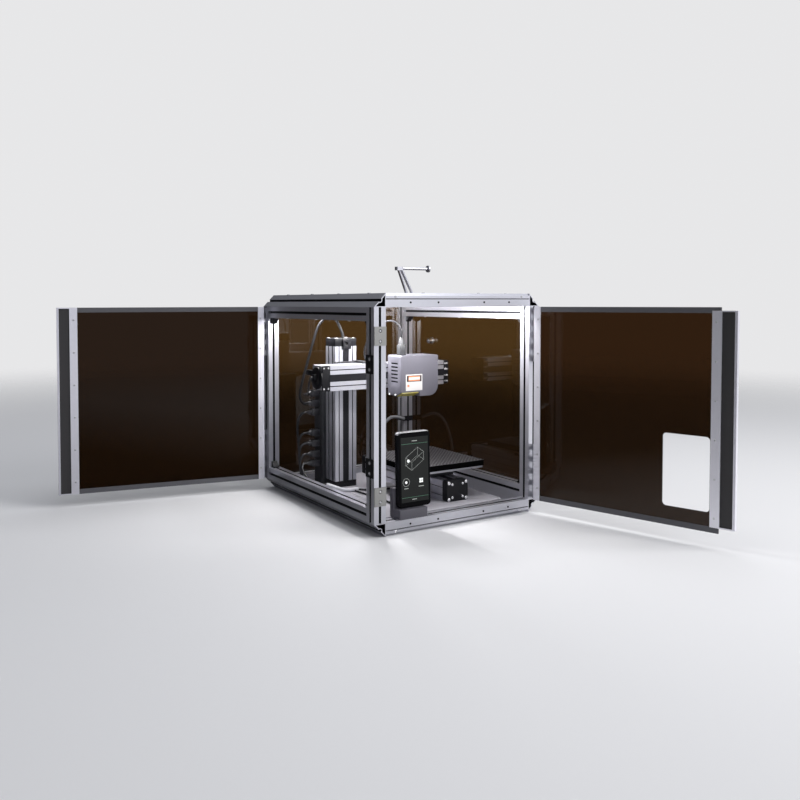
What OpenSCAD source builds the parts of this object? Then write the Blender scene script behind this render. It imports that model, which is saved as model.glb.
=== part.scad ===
// Desktop fabrication machine in a framed enclosure with two amber doors.
// One column carries a cantilevered X module with a laser toolhead; the bed rides on a Y module.
// Origin: centre of the enclosure's footprint, on the surface it stands on. X right, Y back, Z up.
// Inside the modules, places are counted from the enclosure's front left lower corner.

/* [Enclosure] */
// Outside width of the frame
enclosure_w = 468; // [440:1:560]
// Outside depth of the frame
enclosure_d = 544; // [520:1:640]
// Outside height of the frame
enclosure_h = 520; // [500:1:600]
// Side of the square posts and rails, and leg of the chamfered edges
profile_w = 30; // [28:1:32]
// Width of the slot in a post or rail
slot_w = 6; // [4:0.5:8]
// Thickness of the amber panels
panel_t = 3; // [2:0.5:4]
// Width of the flange that carries the top and floor panels
flange_w = 14; // [12:1:20]
// Wall of the chamfered edge profiles
edge_wall = 1.8; // [1.4:0.2:2.6]

/* [Doors] */
// Angle that the left door stands open
left_open = 99; // [0:1:130]
// Angle that the front door stands open
front_open = 107; // [0:1:130]
// Distance from a post's outer corner to its hinge axis, along the door
hinge_in = 20; // [16:1:24]
// Distance from the frame's face out to the hinge axis
hinge_out = 10; // [9.5:0.5:14]
// Gap between a closed door and the frame's face
door_gap = 2.5; // [2.2:0.1:4]
// Gap between a closed door's free edge and the corner
door_end_gap = 3; // [2:0.5:8]
// Thickness of the sheet metal trims on a door
trim_t = 1.5; // [1:0.25:2]
// Width of the trim strip along the hinge side
hinge_strip_w = 16; // [12:1:24]
// Width of the screwed flat of the handle profile
handle_flat_w = 17; // [12:1:24]
// Width of the handle profile's channel, lip included
handle_channel_w = 31; // [24:1:40]
// Height of the dark seals along a door's top and bottom
seal_h = 12; // [8:1:20]
// Length of each door hinge
hinge_len = 128; // [80:1:140]
// Radius of a hinge knuckle
knuckle_r = 3.5; // [3:0.25:4]
// Radius of a hinge pin
pin_r = 1.5; // [1:0.25:2]
// Width of the front door's cut-out for the touchscreen
cutout_w = 96; // [92:1:110]
// Height of the front door's cut-out
cutout_h = 154; // [120:1:180]
// Height of the cut-out's lower edge above the floor
cutout_z = 71; // [60:1:90]

/* [Linear modules] */
// Wide side of a linear module
module_w = 62; // [56:1:68]
// Depth of a linear module
module_t = 48; // [44:1:52]
// Width of the cover strip on a module
strip_w = 17; // [12:1:22]
// Length of the Z module's housing
z_module_len = 343; // [320:1:360]
// Length of the X module's housing
x_module_len = 344; // [320:1:350]
// Length of the Y module's housing
y_module_len = 340; // [300:1:360]
// Thickness of the sliding carriages
carriage_t = 14; // [10:1:18]
// Height of the X module's lower side at rest
x_module_z = 285; // [250:1:310]

/* [Base and bed] */
// Height of the machine's rubber feet
foot_h = 13; // [8:1:20]
// Thickness of the machine's base plate
base_t = 14; // [10:1:20]
// Width of the bed
bed_w = 205; // [160:1:210]
// Depth of the bed
bed_d = 210; // [180:1:230]
// Thickness of the black bed plate
bed_t = 14; // [10:1:20]
// Thickness of the platform under the bed
platform_t = 5; // [4:0.5:8]

/* [Toolhead] */
// Width of the toolhead
head_w = 112; // [90:1:120]
// Depth of the toolhead
head_d = 58; // [50:1:66]
// Height of the toolhead
head_h = 101; // [90:1:110]

/* [Touchscreen] */
// Width of the touchscreen
screen_w = 86; // [76:1:90]
// Height of the touchscreen
screen_h = 166; // [140:1:172]
// Thickness of the touchscreen
screen_t = 15; // [12:1:20]
// Angle that the touchscreen leans back
screen_lean = 2; // [0:1:8]

/* [Hidden] */
$fn = 48;

w = enclosure_w;
d = enclosure_d;
h = enclosure_h;
c = profile_w;
silver = [0.78, 0.79, 0.82];
dark_silver = [0.62, 0.63, 0.66];
black = [0.10, 0.10, 0.11];
charcoal = [0.22, 0.22, 0.24];
amber = [0.42, 0.27, 0.10, 0.6];

// Doors, in a frame of their own: x along the door from the hinge axis, y towards the enclosure
left_door_len = d - hinge_in - door_end_gap;
front_door_len = w - hinge_in - door_end_gap;
door_clear = 1;
door_low = c + door_clear;
door_high = h - c - door_clear;
trim_y = hinge_out - door_gap - trim_t;
panel_y = trim_y - panel_t;
leaf_y = panel_y - trim_t;
hinge_strip_x = 1;
panel_x = knuckle_r + 1.5;
knuckle_clear = 0.4;
front_strip_low = 11;
front_strip_high = 7;
lip_w = 5;
lip_depth = 11;
lip_groove_w = 1.2;
handle_wall = 1.5;
channel_depth = 7;
channel_end = 2.5;
hinge_zs = [door_low + 2, door_high - 2 - hinge_len];

// Machine
running = 0.3;
floor_z = panel_t;
base_z = floor_z + foot_h;
base_top = base_z + base_t;
base_x = 48;
base_y = 34;
base_w = 342;
base_d = 422;
z_module_x = 98;
z_module_y = 330;
foot_cap_h = 16;
top_cap_h = 20;
z_module_z = base_top + foot_cap_h;
z_top = z_module_z + z_module_len + top_cap_h;
x_module_x = 48;
x_module_y = z_module_y - running - carriage_t - module_t;
motor_block_w = 22;
block_inset = 3;
motor_cap_t = 4;
motor_cap_r = 27;
end_block_w = 16;
x_front = x_module_y - running;
head_x = 206;
head_z = x_module_z - 17;
head_y = x_front - carriage_t - head_d;
y_module_x = 251;
y_module_y = 90;
y_cap_len = 18;
y_cap_h = module_t + 2;
y_top = base_top + module_t;
y_mid = y_module_x + module_w / 2;
y_spacer_t = 6.7;
y_spacer_w = 50;
y_carriage_len = 110;
platform_z = y_top + running + carriage_t + y_spacer_t;
bed_z = platform_z + platform_t;
bed_left_shift = 12;
bed_x = y_mid - bed_w / 2 - bed_left_shift;
bed_y = y_module_y - 8;
controller_x = 88;
controller_y = z_module_y + module_t + 2;
controller_w = 72;
controller_d = 44;
controller_h = 262;
plug_zs = [55, 79, 107, 134, 188, 211, 236];
plug_w = 18;
plug_len = 32;
plug_h = 17;
plug_boot_len = 10;
plug_y = 13;

// Cable routes: hand-chosen points, counted from the front left lower corner
toolhead_route = [[225, 222, 413.3], [225, 222, 428], [219, 225, 444], [206, 231, 454], [188, 244, 452],
    [172, 258, 436], [161, 270, 412], [156, 280, 388], [158, 286, 368], [163, 287, 353.4]];
x_motor_route = [[12.7, 292, 319], [8, 292, 318], [5.5, 295, 310], [7, 302, 296], [14, 318, 280],
    [26, 345, 269], [34, 372, 267], [40, 390, 266], [47, 400, 266], [55.7, 402, 266]];
column_route = [[124, 336, 409.3], [123.5, 337, 420], [120, 343, 436], [115, 350, 452], [106, 362, 464],
    [94, 376, 460], [80, 388, 436], [66, 396, 385], [52, 402, 330], [40, 405, 285],
    [36.5, 405, 263], [38, 404, 250], [45, 402, 241.5], [55.7, 402, 241]];
loop_routes = [
    [[55.7, 402, 218], [47, 403, 217], [40, 408, 211], [38, 417, 198], [40, 426, 178], [44, 431, 150],
        [48, 433, 110], [52, 434, 70], [58, 434, 34]],
    [[55.7, 402, 164], [47, 402, 164], [40, 406, 158], [38, 413, 146], [41, 421, 128], [46, 426, 105],
        [50, 427, 70], [57, 427, 34]],
    [[55.7, 402, 137], [47, 402, 137], [39, 404, 130], [37, 409, 116], [40, 416, 98], [45, 420, 75],
        [55, 420, 34]],
    [[55.7, 402, 109], [47, 402, 109], [39, 403, 100], [37, 407, 84], [42, 412, 60], [52, 413, 34]],
    [[55.7, 402, 85], [46, 402, 85], [39, 398, 76], [40, 389, 62], [48, 378, 48], [62, 366, 39],
        [76, 358, 36], [87.5, 353, 35.4]]];
sleeve_route = [[88, 352.4, 35.4], [89, 338, 35.4], [89.5, 322, 35.4], [90, 306, 35.4], [92, 292, 35.4],
    [97, 283, 35.4], [107, 278, 35.4], [119, 276, 35.4], [130, 272, 35.4]];
bed_route = [[130.6, 271.7, 35.2], [142, 265, 34], [160, 257, 33], [182, 251, 33], [206, 248, 33],
    [228, 247, 33], [250.7, 247, 33]];
screen_route = [[118, 40.3, 60], [118, 48, 59], [119, 60, 50], [120, 78, 37], [124, 100, 32.8],
    [128, 128, 32.7], [130, 160, 32.7], [128, 196, 32.7], [124, 228, 32.8], [121, 250, 33],
    [120, 270.4, 33.2]];
hose_route = [[374, 444, 33.6], [362, 457, 44], [350, 476, 74], [348, 493, 110], [359, 503, 145],
    [384, 507, 165], [410, 508, 166], [435.6, 508, 159]];
cable_r = 2.4;
loop_cable_r = 3;
motor_cable_r = 2.6;
column_cable_r = 3.5;
sleeve_r = 5;
hose_r = 5;

module world() {
    translate([-w / 2, -d / 2, 0]) children();
}

// ---- shared shapes ----

module rounded_rect(size, r) {
    translate([0, r]) square([size[0], size[1] - 2 * r]);
    translate([r, 0]) square([size[0] - 2 * r, size[1]]);
    for (x = [r, size[0] - r], y = [r, size[1] - r]) translate([x, y]) circle(r);
}

// A block with its vertical edges rounded
module rounded_block(size, r) {
    linear_extrude(size[2]) rounded_rect([size[0], size[1]], r);
}

// Square slotted profile, one corner at the origin
slot_lip = 2;
slot_depth = 7;
slot_inner_w = 13;
core_r = 3.2;
module slotted_section() {
    difference() {
        square(c);
        for (turn = [0:3]) translate([c / 2, c / 2]) rotate(90 * turn) translate([0, -c / 2]) {
            translate([-slot_w / 2, -1]) square([slot_w, slot_depth + 1]);
            translate([-slot_inner_w / 2, slot_lip]) square([slot_inner_w, slot_depth - slot_lip - 1.5]);
        }
        translate([c / 2, c / 2]) circle(core_r);
    }
}

// Chamfered edge profile: outer chamfer from (0, c) to (c, 0), y counted inwards from the panel's side
groove_r = 4;
module edge_section() {
    cavity = edge_wall + 1;
    difference() {
        polygon([[0, c], [c, 0], [c, c]]);
        difference() {
            polygon([[cavity + edge_wall, c - edge_wall], [c - edge_wall, c - edge_wall],
                [c - edge_wall, cavity + edge_wall]]);
            translate([c / 2, c / 2]) circle(groove_r + edge_wall);
        }
        translate([c / 2, c / 2]) circle(groove_r);
        translate([c / 2, c / 2]) rotate(-45) translate([-groove_r * 0.4, -c / 2])
            square([groove_r * 0.8, c / 2]);
    }
}

// Upright edge profile: its face at x = 0 has a fine groove, and a slot opens towards the doorway
outer_band = 12.5;
face_groove = [3, 2];
cross_chamfer = 6;
module cross_section() {
    difference() {
        polygon([[0, c], [0, cross_chamfer], [cross_chamfer, 0], [c, 0], [c, c]]);
        translate([-1, outer_band - face_groove[1] / 2]) square([face_groove[0] + 1, face_groove[1]]);
        translate([(c - slot_w) / 2, c - slot_depth]) square([slot_w, slot_depth + 1]);
        translate([cross_chamfer + edge_wall, 2 * edge_wall])
            square([c - cross_chamfer - 2 * edge_wall, c - slot_depth - 3 * edge_wall]);
    }
}

// Linear module profile, strip side at y = 0, centred on x
strip_depth = 3;
band_groove_w = 2.4;
band_groove_depth = 4;
module module_section() {
    wall = 6;
    difference() {
        translate([-module_w / 2, 0]) square([module_w, module_t]);
        translate([-strip_w / 2 - running, -1]) square([strip_w + 2 * running, strip_depth + 1]);
        for (side = [-1, 1]) {
            translate([side * (strip_w + module_w) / 4 - band_groove_w / 2, -1])
                square([band_groove_w, band_groove_depth + 1]);
            translate([side * module_w / 2, module_t * 0.3]) square([6, 5], center = true);
            translate([side * module_w / 2, module_t * 0.7]) square([6, 5], center = true);
        }
        translate([-module_w / 2 + wall, strip_depth + wall])
            square([module_w - 2 * wall, module_t - strip_depth - 2 * wall]);
    }
}

// Round-headed screw on a face at the origin, head along +Z
head_t = 1.6;
module screw_head(r) {
    difference() {
        union() {
            cylinder(r = r, h = head_t * 0.5);
            translate([0, 0, head_t * 0.5]) cylinder(r1 = r, r2 = r * 0.6, h = head_t * 0.5);
        }
        translate([0, 0, head_t * 0.4]) cylinder(r = r * 0.38, h = head_t, $fn = 6);
    }
}

// ---- frame ----

module post(x, y) {
    color(silver) world() translate([x, y, c]) linear_extrude(h - 2 * c) slotted_section();
}

module front_left_post() {
    post(0, 0);
}

module front_right_post() {
    post(w - c, 0);
}

module back_left_post() {
    post(0, d - c);
}

module back_right_post() {
    post(w - c, d - c);
}

module side_rails(x) {
    color(silver) world() for (z = [c, h - 2 * c]) translate([x, d - c, z]) rotate([90, 0, 0])
        linear_extrude(d - 2 * c) slotted_section();
}

module left_rails() {
    side_rails(0);
}

module right_rails() {
    side_rails(w - c);
}

// The edge profile along Y on the left at the top; mirrored for the other sides
module side_edge() {
    translate([0, d, h]) rotate([90, 0, 0]) linear_extrude(d) mirror([0, 1, 0]) edge_section();
    translate([c, d - c, h - panel_t]) rotate([90, 0, 0]) linear_extrude(d - 2 * c)
        mirror([0, 1, 0]) square([flange_w, panel_t]);
}

module cross_edge() {
    translate([c, 0, h]) rotate([90, 0, 90]) linear_extrude(w - 2 * c)
        mirror([0, 1, 0]) cross_section();
    translate([c + flange_w, c, h - panel_t]) rotate([90, 0, 90]) linear_extrude(w - 2 * c - 2 * flange_w)
        mirror([0, 1, 0]) square([flange_w, panel_t]);
}

module at_floor() {
    translate([0, 0, h]) mirror([0, 0, 1]) children();
}

module at_right() {
    translate([w, 0, 0]) mirror([1, 0, 0]) children();
}

module at_back() {
    translate([0, d, 0]) mirror([0, 1, 0]) children();
}

module top_side_edges() {
    color(silver) world() {
        side_edge();
        at_right() side_edge();
    }
}

module bottom_side_edges() {
    color(silver) world() at_floor() {
        side_edge();
        at_right() side_edge();
    }
}

module front_edges() {
    color(silver) world() {
        cross_edge();
        at_floor() cross_edge();
    }
}

module back_edges() {
    color(silver) world() at_back() {
        cross_edge();
        at_floor() cross_edge();
    }
}

module flat_panel() {
    translate([c, c, 0]) cube([w - 2 * c, d - 2 * c, panel_t]);
}

module top_panel() {
    color(amber) world() translate([0, 0, h - panel_t]) flat_panel();
}

module floor_panel() {
    color(dark_silver) world() flat_panel();
}

module back_panel() {
    color(amber) world() translate([1, d, door_low]) cube([w - 2, panel_t, door_high - door_low]);
}

module right_panel() {
    color(amber) world() translate([w, 1, door_low]) cube([panel_t, d - 2, door_high - door_low]);
}

// Gusset between a post and a rail, in the plane of the side, right angle at the origin
bracket_leg = 16;
clip_t = 2;
clip_z = 152;
clip_h = 14;
module corner_gusset() {
    rotate([90, 0, 90]) linear_extrude(c - 2 * slot_depth) polygon([[0, 0], [bracket_leg, 0],
        [bracket_leg, 3], [3, bracket_leg], [0, bracket_leg]]);
}

module side_gussets() {
    for (low = [0, 1], back = [0, 1]) translate([slot_depth, back ? d - c : c, low ? 2 * c : h - 2 * c])
        mirror([0, back, 0]) mirror([0, 0, 1 - low]) corner_gusset();
}

module corner_brackets() {
    color(black) world() {
        side_gussets();
        at_right() side_gussets();
        // Clip round the back right post, which holds the hose
        translate([w - c - clip_t, d - c - clip_t, clip_z]) {
            cube([clip_t, c + clip_t, clip_h]);
            cube([c + clip_t, clip_t, clip_h]);
        }
    }
}

// Screws of the front and back edges, the panels and the strike plates
small_screw_r = 2.2;
edge_screw_r = 3;
panel_screw_r = 4;
module face_screw(x, drop, r) {
    translate([x, 0, h - drop]) rotate([90, 0, 0]) screw_head(r);
}

module edge_screw_row() {
    for (x = [94, 169, w - 169, w - 94]) face_screw(x, c - 10, small_screw_r);
    for (x = [55, w - 55]) face_screw(x, outer_band * 0.62, edge_screw_r);
}

// Screws on the column's cap and on the front cap of the Y module
cap_screw_inset = 5.5;
cap_screw_pitch = 31;
module cap_screws() {
    for (x = [cap_screw_inset, module_w - cap_screw_inset], y = [cap_screw_inset, module_t - cap_screw_inset])
        translate([z_module_x + x, z_module_y + y, z_top]) screw_head(panel_screw_r);
    translate([y_mid, y_module_y - y_cap_len, base_top + y_cap_h / 2]) rotate([90, 0, 0]) {
        for (x = [-0.5, 0.5], y = [-0.5, 0.5]) translate([x, y] * cap_screw_pitch) screw_head(edge_screw_r);
        for (x = [-0.5, 0.5], y = [-0.5, 0.5])
            translate([x * (module_w - 2 * cap_screw_inset), y * (y_cap_h - 2 * cap_screw_inset), 0])
                screw_head(panel_screw_r);
    }
}

module frame_screws() {
    color(dark_silver) world() {
        edge_screw_row();
        at_floor() edge_screw_row();
        at_back() edge_screw_row();
        for (x = [c + flange_w / 2, w - c - flange_w / 2], y = [d * 0.14, d * 0.38, d * 0.62, d * 0.86])
            translate([x, y, h]) screw_head(panel_screw_r);
        for (y = [c + flange_w / 2, d - c - flange_w / 2], x = [w * 0.33, w * 0.67])
            translate([x, y, h]) screw_head(panel_screw_r);
        for (z = [h * 0.2, h * 0.5, h * 0.8], x = [c / 2, w - c / 2])
            translate([x, d + panel_t, z]) rotate([-90, 0, 0]) screw_head(panel_screw_r);
        for (z = [h * 0.2, h * 0.5, h * 0.8], y = [c / 2, d - c / 2])
            translate([w + panel_t, y, z]) rotate([0, 90, 0]) screw_head(panel_screw_r);
        for (z = strike_front_zs) translate([0, -strike_t, z]) strike_screws();
        for (z = strike_left_zs) translate([-strike_t, c, z]) rotate([0, 0, -90]) strike_screws();
        cap_screws();
        for (z = [h - 2 * c], y = [d * 0.23, d * 0.51, d * 0.79], x = [c / 2, w - c / 2])
            translate([x, y, z]) rotate([180, 0, 0]) screw_head(panel_screw_r);
    }
}

strike_t = 2;
strike_h = 40;
strike_front_zs = [68, h - 111];
strike_left_zs = [128, h - 171];
module strike_plate() {
    difference() {
        cube([c, strike_t, strike_h]);
        for (z = [strike_h * 0.22, strike_h * 0.78]) translate([c / 2, -1, z]) rotate([-90, 0, 0]) {
            cylinder(r = 2.1, h = strike_t + 2);
            cylinder(r1 = 5.1, r2 = 2.1, h = 2.4);
        }
    }
}

module strike_screws() {
    for (z = [strike_h * 0.22, strike_h * 0.78]) translate([c / 2, 0, z]) rotate([-90, 0, 0])
        difference() {
            union() {
                cylinder(r1 = 3.75, r2 = 2, h = 1.4);
                cylinder(r = 2, h = strike_t + 4);
            }
            translate([0, 0, -1]) cylinder(r = 1.3, h = 2, $fn = 6);
        }
}

module strike_plates() {
    color(dark_silver) world() {
        for (z = strike_front_zs) translate([0, -strike_t, z]) strike_plate();
        for (z = strike_left_zs) translate([-strike_t, c, z]) rotate([0, 0, -90]) strike_plate();
    }
}

// ---- doors ----

module at_left_hinge() {
    translate([-hinge_out, d - hinge_in, 0]) rotate([0, 0, -90]) children();
}

module at_front_hinge() {
    translate([w - hinge_in, -hinge_out, 0]) mirror([1, 0, 0]) children();
}

module on_left_door() {
    world() at_left_hinge() rotate([0, 0, -left_open]) children();
}

module on_front_door() {
    world() at_front_hinge() rotate([0, 0, -front_open]) children();
}

// Knuckles of one hinge: frame ones at even places, door ones at odd places
knuckle_count = 9;
module knuckles(first) {
    pitch = hinge_len / knuckle_count;
    for (i = [first:2:knuckle_count - 1]) translate([0, 0, i * pitch + knuckle_clear / 2])
        cylinder(r = knuckle_r, h = pitch - knuckle_clear);
}

module knuckle_webs(first, x, y, size) {
    pitch = hinge_len / knuckle_count;
    for (i = [first:2:knuckle_count - 1]) translate([x, y, i * pitch + knuckle_clear / 2])
        cube([size[0], size[1], pitch - knuckle_clear]);
}

pin_clear = 0.05;
module frame_leaf() {
    difference() {
        union() {
            knuckles(0);
            knuckle_webs(0, -knuckle_r, 0, [trim_t, hinge_out]);
            translate([-hinge_in + 3, hinge_out - trim_t, 0])
                cube([hinge_in - 3 - knuckle_r + trim_t, trim_t, hinge_len]);
        }
        translate([0, 0, -1]) cylinder(r = pin_r + pin_clear, h = hinge_len + 2);
    }
}

module door_leaf() {
    leaf_w = hinge_strip_w - knuckle_r - knuckle_clear;
    difference() {
        union() {
            knuckles(1);
            knuckle_webs(1, 0, leaf_y, [knuckle_r + knuckle_clear + 1, trim_t]);
            translate([knuckle_r + knuckle_clear, leaf_y, 0]) cube([leaf_w, trim_t, hinge_len]);
        }
        translate([0, 0, -1]) cylinder(r = pin_r + pin_clear, h = hinge_len + 2);
    }
}

module hinge_frame_leaves() {
    color(dark_silver) world() for (z = hinge_zs) {
        at_left_hinge() translate([0, 0, z]) frame_leaf();
        at_front_hinge() translate([0, 0, z]) frame_leaf();
    }
}

module hinge_pins() {
    color(dark_silver) world() for (z = hinge_zs) {
        at_left_hinge() translate([0, 0, z]) cylinder(r = pin_r, h = hinge_len);
        at_front_hinge() translate([0, 0, z]) cylinder(r = pin_r, h = hinge_len);
    }
}

module door_hinges() {
    color(dark_silver) for (z = hinge_zs) translate([0, 0, z]) door_leaf();
}

// Amber sheet from the hinge side to the handle's channel
module door_sheet(len) {
    translate([panel_x, panel_y, door_low])
        cube([len - handle_channel_w - panel_x, panel_t, door_high - door_low]);
}

module door_seals(len, end_x) {
    color(charcoal) for (z = [door_low, door_high - seal_h])
        translate([hinge_strip_x + hinge_strip_w, trim_y, z])
            cube([end_x - hinge_strip_x - hinge_strip_w, trim_t * 0.7, seal_h]);
}

module door_hinge_strip() {
    color(silver) translate([hinge_strip_x, trim_y, door_low])
        cube([hinge_strip_w, trim_t, door_high - door_low]);
}

// Folded handle profile: flat on the sheet, channel with an outer lip, closed at both ends
module door_handle(len, low, high) {
    flat_x = len - handle_channel_w - handle_flat_w;
    channel_x = len - handle_channel_w;
    front = trim_y + trim_t;
    back = front - channel_depth;
    lip_groove_x = len - (lip_w + lip_groove_w) / 2;
    color(silver) difference() {
        union() {
            translate([flat_x, trim_y, low]) cube([handle_flat_w + handle_wall, trim_t, high - low]);
            translate([channel_x, back, low]) cube([handle_channel_w, front - back, high - low]);
            translate([len - lip_w, front - lip_depth, low]) cube([lip_w, lip_depth, high - low]);
        }
        translate([channel_x + handle_wall, back + handle_wall, low + channel_end])
            cube([handle_channel_w - handle_wall - lip_w, channel_depth, high - low - 2 * channel_end]);
        translate([lip_groove_x, front - lip_depth - 1, low - 1])
            cube([lip_groove_w, lip_depth * 0.55, high - low + 2]);
        translate([lip_groove_x, front - 1.5, low - 1]) cube([lip_groove_w, 2, high - low + 2]);
    }
}

module door_grip(len, low, high) {
    back = trim_y + trim_t - channel_depth;
    color(charcoal) translate([len - handle_channel_w + handle_wall, back + handle_wall, low + channel_end])
        cube([handle_channel_w - handle_wall - lip_w, 3, high - low - 2 * channel_end]);
}

strip_screws = 6;
module door_screws(len) {
    low = door_low + 30;
    pitch = (door_high - door_low - 60) / (strip_screws - 1);
    flat_mid = len - handle_channel_w - handle_flat_w / 2;
    color(dark_silver) for (i = [0:strip_screws - 1], x = [hinge_strip_x + hinge_strip_w / 2 + 2, flat_mid])
        translate([x, trim_y + trim_t, low + i * pitch]) rotate([-90, 0, 0]) screw_head(small_screw_r);
}

module left_door_panel() {
    color(amber) on_left_door() door_sheet(left_door_len);
}

module left_door_seals() {
    on_left_door() door_seals(left_door_len, left_door_len - handle_channel_w - handle_flat_w);
}

module left_door_hinge_strip() {
    on_left_door() door_hinge_strip();
}

module left_door_handle() {
    on_left_door() door_handle(left_door_len, door_low, door_high);
}

module left_door_grip() {
    on_left_door() door_grip(left_door_len, door_low, door_high);
}

module left_door_screws() {
    on_left_door() door_screws(left_door_len);
}

module left_door_hinges() {
    on_left_door() door_hinges();
}

module front_door_panel() {
    cutout_x = front_door_len - handle_channel_w - handle_flat_w - cutout_w;
    color(amber) on_front_door() difference() {
        door_sheet(front_door_len);
        translate([cutout_x, panel_y - 1, cutout_z]) rotate([90, 0, 0]) mirror([0, 0, 1])
            linear_extrude(panel_t + 2) rounded_rect([cutout_w - 1, cutout_h], 8);
    }
}

module front_door_seals() {
    seal_end = front_door_len - handle_channel_w;
    difference() {
        on_front_door() door_seals(front_door_len, seal_end);
        on_front_door() translate([seal_end - handle_flat_w - running, trim_y - 1,
            door_low + front_strip_low - running])
            cube([handle_flat_w + 5, 4, door_high - door_low - front_strip_low - front_strip_high + 2 * running]);
    }
}

module front_door_hinge_strip() {
    on_front_door() door_hinge_strip();
}

module front_door_handle() {
    on_front_door() door_handle(front_door_len, door_low + front_strip_low, door_high - front_strip_high);
}

module front_door_grip() {
    on_front_door() door_grip(front_door_len, door_low + front_strip_low, door_high - front_strip_high);
}

module front_door_screws() {
    on_front_door() door_screws(front_door_len);
}

module front_door_hinges() {
    on_front_door() door_hinges();
}

// ---- machine base, Z and Y modules ----

base_slots = 9;
base_slot_x = 48;
base_slot_y = 160;
module base_plate() {
    color(dark_silver) world() translate([base_x, base_y, base_z]) difference() {
        rounded_block([base_w, base_d, base_t], 12);
        for (i = [0:base_slots - 1]) translate([base_slot_x, base_slot_y + i * 9, base_t - 3])
            cube([12, 4, 4]);
    }
}

module base_feet() {
    inset = 26;
    color(black) world() for (x = [base_x + inset, base_x + base_w - inset],
        y = [base_y + inset, base_y + base_d - inset]) translate([x, y, floor_z]) {
        cylinder(r1 = 13, r2 = 15, h = foot_h - 4);
        translate([0, 0, foot_h - 4]) cylinder(r = 11, h = 4);
    }
}

module z_module() {
    color(silver) world() translate([z_module_x + module_w / 2, z_module_y, z_module_z])
        linear_extrude(z_module_len) module_section();
}

module y_module() {
    color(silver) world() translate([y_mid, y_module_y, y_top]) rotate([-90, 0, 0])
        linear_extrude(y_module_len) module_section();
}

module cover_strips() {
    color(charcoal) world() {
        translate([z_module_x + (module_w - strip_w) / 2, z_module_y + 0.6, z_module_z])
            cube([strip_w, strip_depth - 0.6, z_module_len]);
        translate([y_mid - strip_w / 2, y_module_y, y_top - strip_depth])
            cube([strip_w, y_module_len, strip_depth - 0.6]);
    }
}

cap_corner = 5;
module y_cap() {
    translate([y_module_x, 0, base_top]) rotate([90, 0, 0]) mirror([0, 0, 1])
        linear_extrude(y_cap_len) rounded_rect([module_w, y_cap_h], cap_corner);
}

module module_end_caps() {
    tab_x = z_module_x + module_w / 2 - 11;
    color(black) world() {
        // Foot of the column, with comb teeth in front
        translate([z_module_x, z_module_y, base_top]) difference() {
            cube([module_w, module_t, foot_cap_h]);
            for (i = [0:2]) translate([module_w * 0.42 + i * 8, -1, foot_cap_h - 7]) cube([3.5, 4, 8]);
        }
        // Cap on the column's top, with the motor's socket on its front
        translate([z_module_x, z_module_y, z_top - top_cap_h]) cube([module_w, module_t, top_cap_h]);
        translate([tab_x, z_module_y - 7, z_top - 27]) difference() {
            cube([23, 7, 25]);
            translate([8, -1, 14]) rotate([-90, 0, 0]) cylinder(r = 4.5, h = 5);
        }
        translate([0, y_module_y - y_cap_len, 0]) y_cap();
        translate([0, y_module_y + y_module_len + y_cap_len, 0]) mirror([0, 1, 0]) y_cap();
    }
}

// ---- controller and cables ----

module controller() {
    color(black) world() translate([controller_x, controller_y, base_top]) {
        difference() {
            rounded_block([controller_w, controller_d, controller_h], 4);
            for (i = [0:9]) translate([14 + i * 5.6, controller_d - 3, controller_h - 70])
                cube([3, 4, 50]);
            for (i = [0:9]) translate([14 + i * 5.6, controller_d - 3, 24]) cube([3, 4, 50]);
        }
        translate([controller_w - 40, controller_d, 92]) cube([30, 4, 26]);
    }
}

module cable_plugs() {
    color(black) world() for (z = plug_zs)
        translate([controller_x - plug_len, controller_y + plug_y, base_top + z - plug_h / 2]) {
            translate([plug_boot_len, 0, 0]) difference() {
                cube([plug_len - plug_boot_len, plug_w, plug_h]);
                for (x = [4, 9]) translate([x, -1, plug_h - 1.2]) cube([2, plug_w + 2, 2]);
            }
            translate([0, plug_w / 2, plug_h / 2]) rotate([0, 90, 0])
                cylinder(r1 = 4, r2 = plug_h * 0.42, h = plug_boot_len);
        }
}

// Smooth curve through the points of a route, with steps pieces between neighbours
function clamp_i(i, n) = max(0, min(n - 1, i));
function curve_at(a, b, e, f, t) = 0.5 * (2 * b + (e - a) * t + (2 * a - 5 * b + 4 * e - f) * t * t
    + (3 * b - a - 3 * e + f) * t * t * t);
function curve(p, steps) = let (n = len(p)) concat(
    [for (i = [0:n - 2], s = [0:steps - 1])
        curve_at(p[clamp_i(i - 1, n)], p[i], p[i + 1], p[clamp_i(i + 2, n)], s / steps)],
    [p[n - 1]]);
function unit(v) = v / norm(v);
function tangent(p, i) = unit(p[clamp_i(i + 1, len(p))] - p[clamp_i(i - 1, len(p))]);
// The side vector is carried from ring to ring, so that the tube doesn't twist
function next_side(side, t) = unit(side - (side * t) * t);
function sides_along(p, start) = let (n = len(p)) [for (i = 0, s = next_side(start, tangent(p, 0));
    i < n; i = i + 1, s = next_side(s, tangent(p, clamp_i(i, n)))) s];
function tube_points(p, r, sides, start) = let (side = sides_along(p, start))
    [for (i = [0:len(p) - 1], k = [0:sides - 1])
        p[i] + r * (cos(360 * k / sides) * side[i] + sin(360 * k / sides) * cross(tangent(p, i), side[i]))];
function tube_faces(rings, sides) = concat(
    [[for (k = [0:sides - 1]) sides - 1 - k]],
    [for (i = [0:rings - 2], k = [0:sides - 1]) let (a = i * sides + k,
        b = i * sides + (k + 1) % sides, e = a + sides, f = b + sides) each [[a, b, e], [b, f, e]]],
    [[for (k = [0:sides - 1]) (rings - 1) * sides + k]]);

module tube(route, r, steps = 2, start = [0.3, 1, 0.2], sides = 8) {
    p = curve(route, steps);
    polyhedron(tube_points(p, r, sides, start), tube_faces(len(p), sides), convexity = 6);
}

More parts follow.
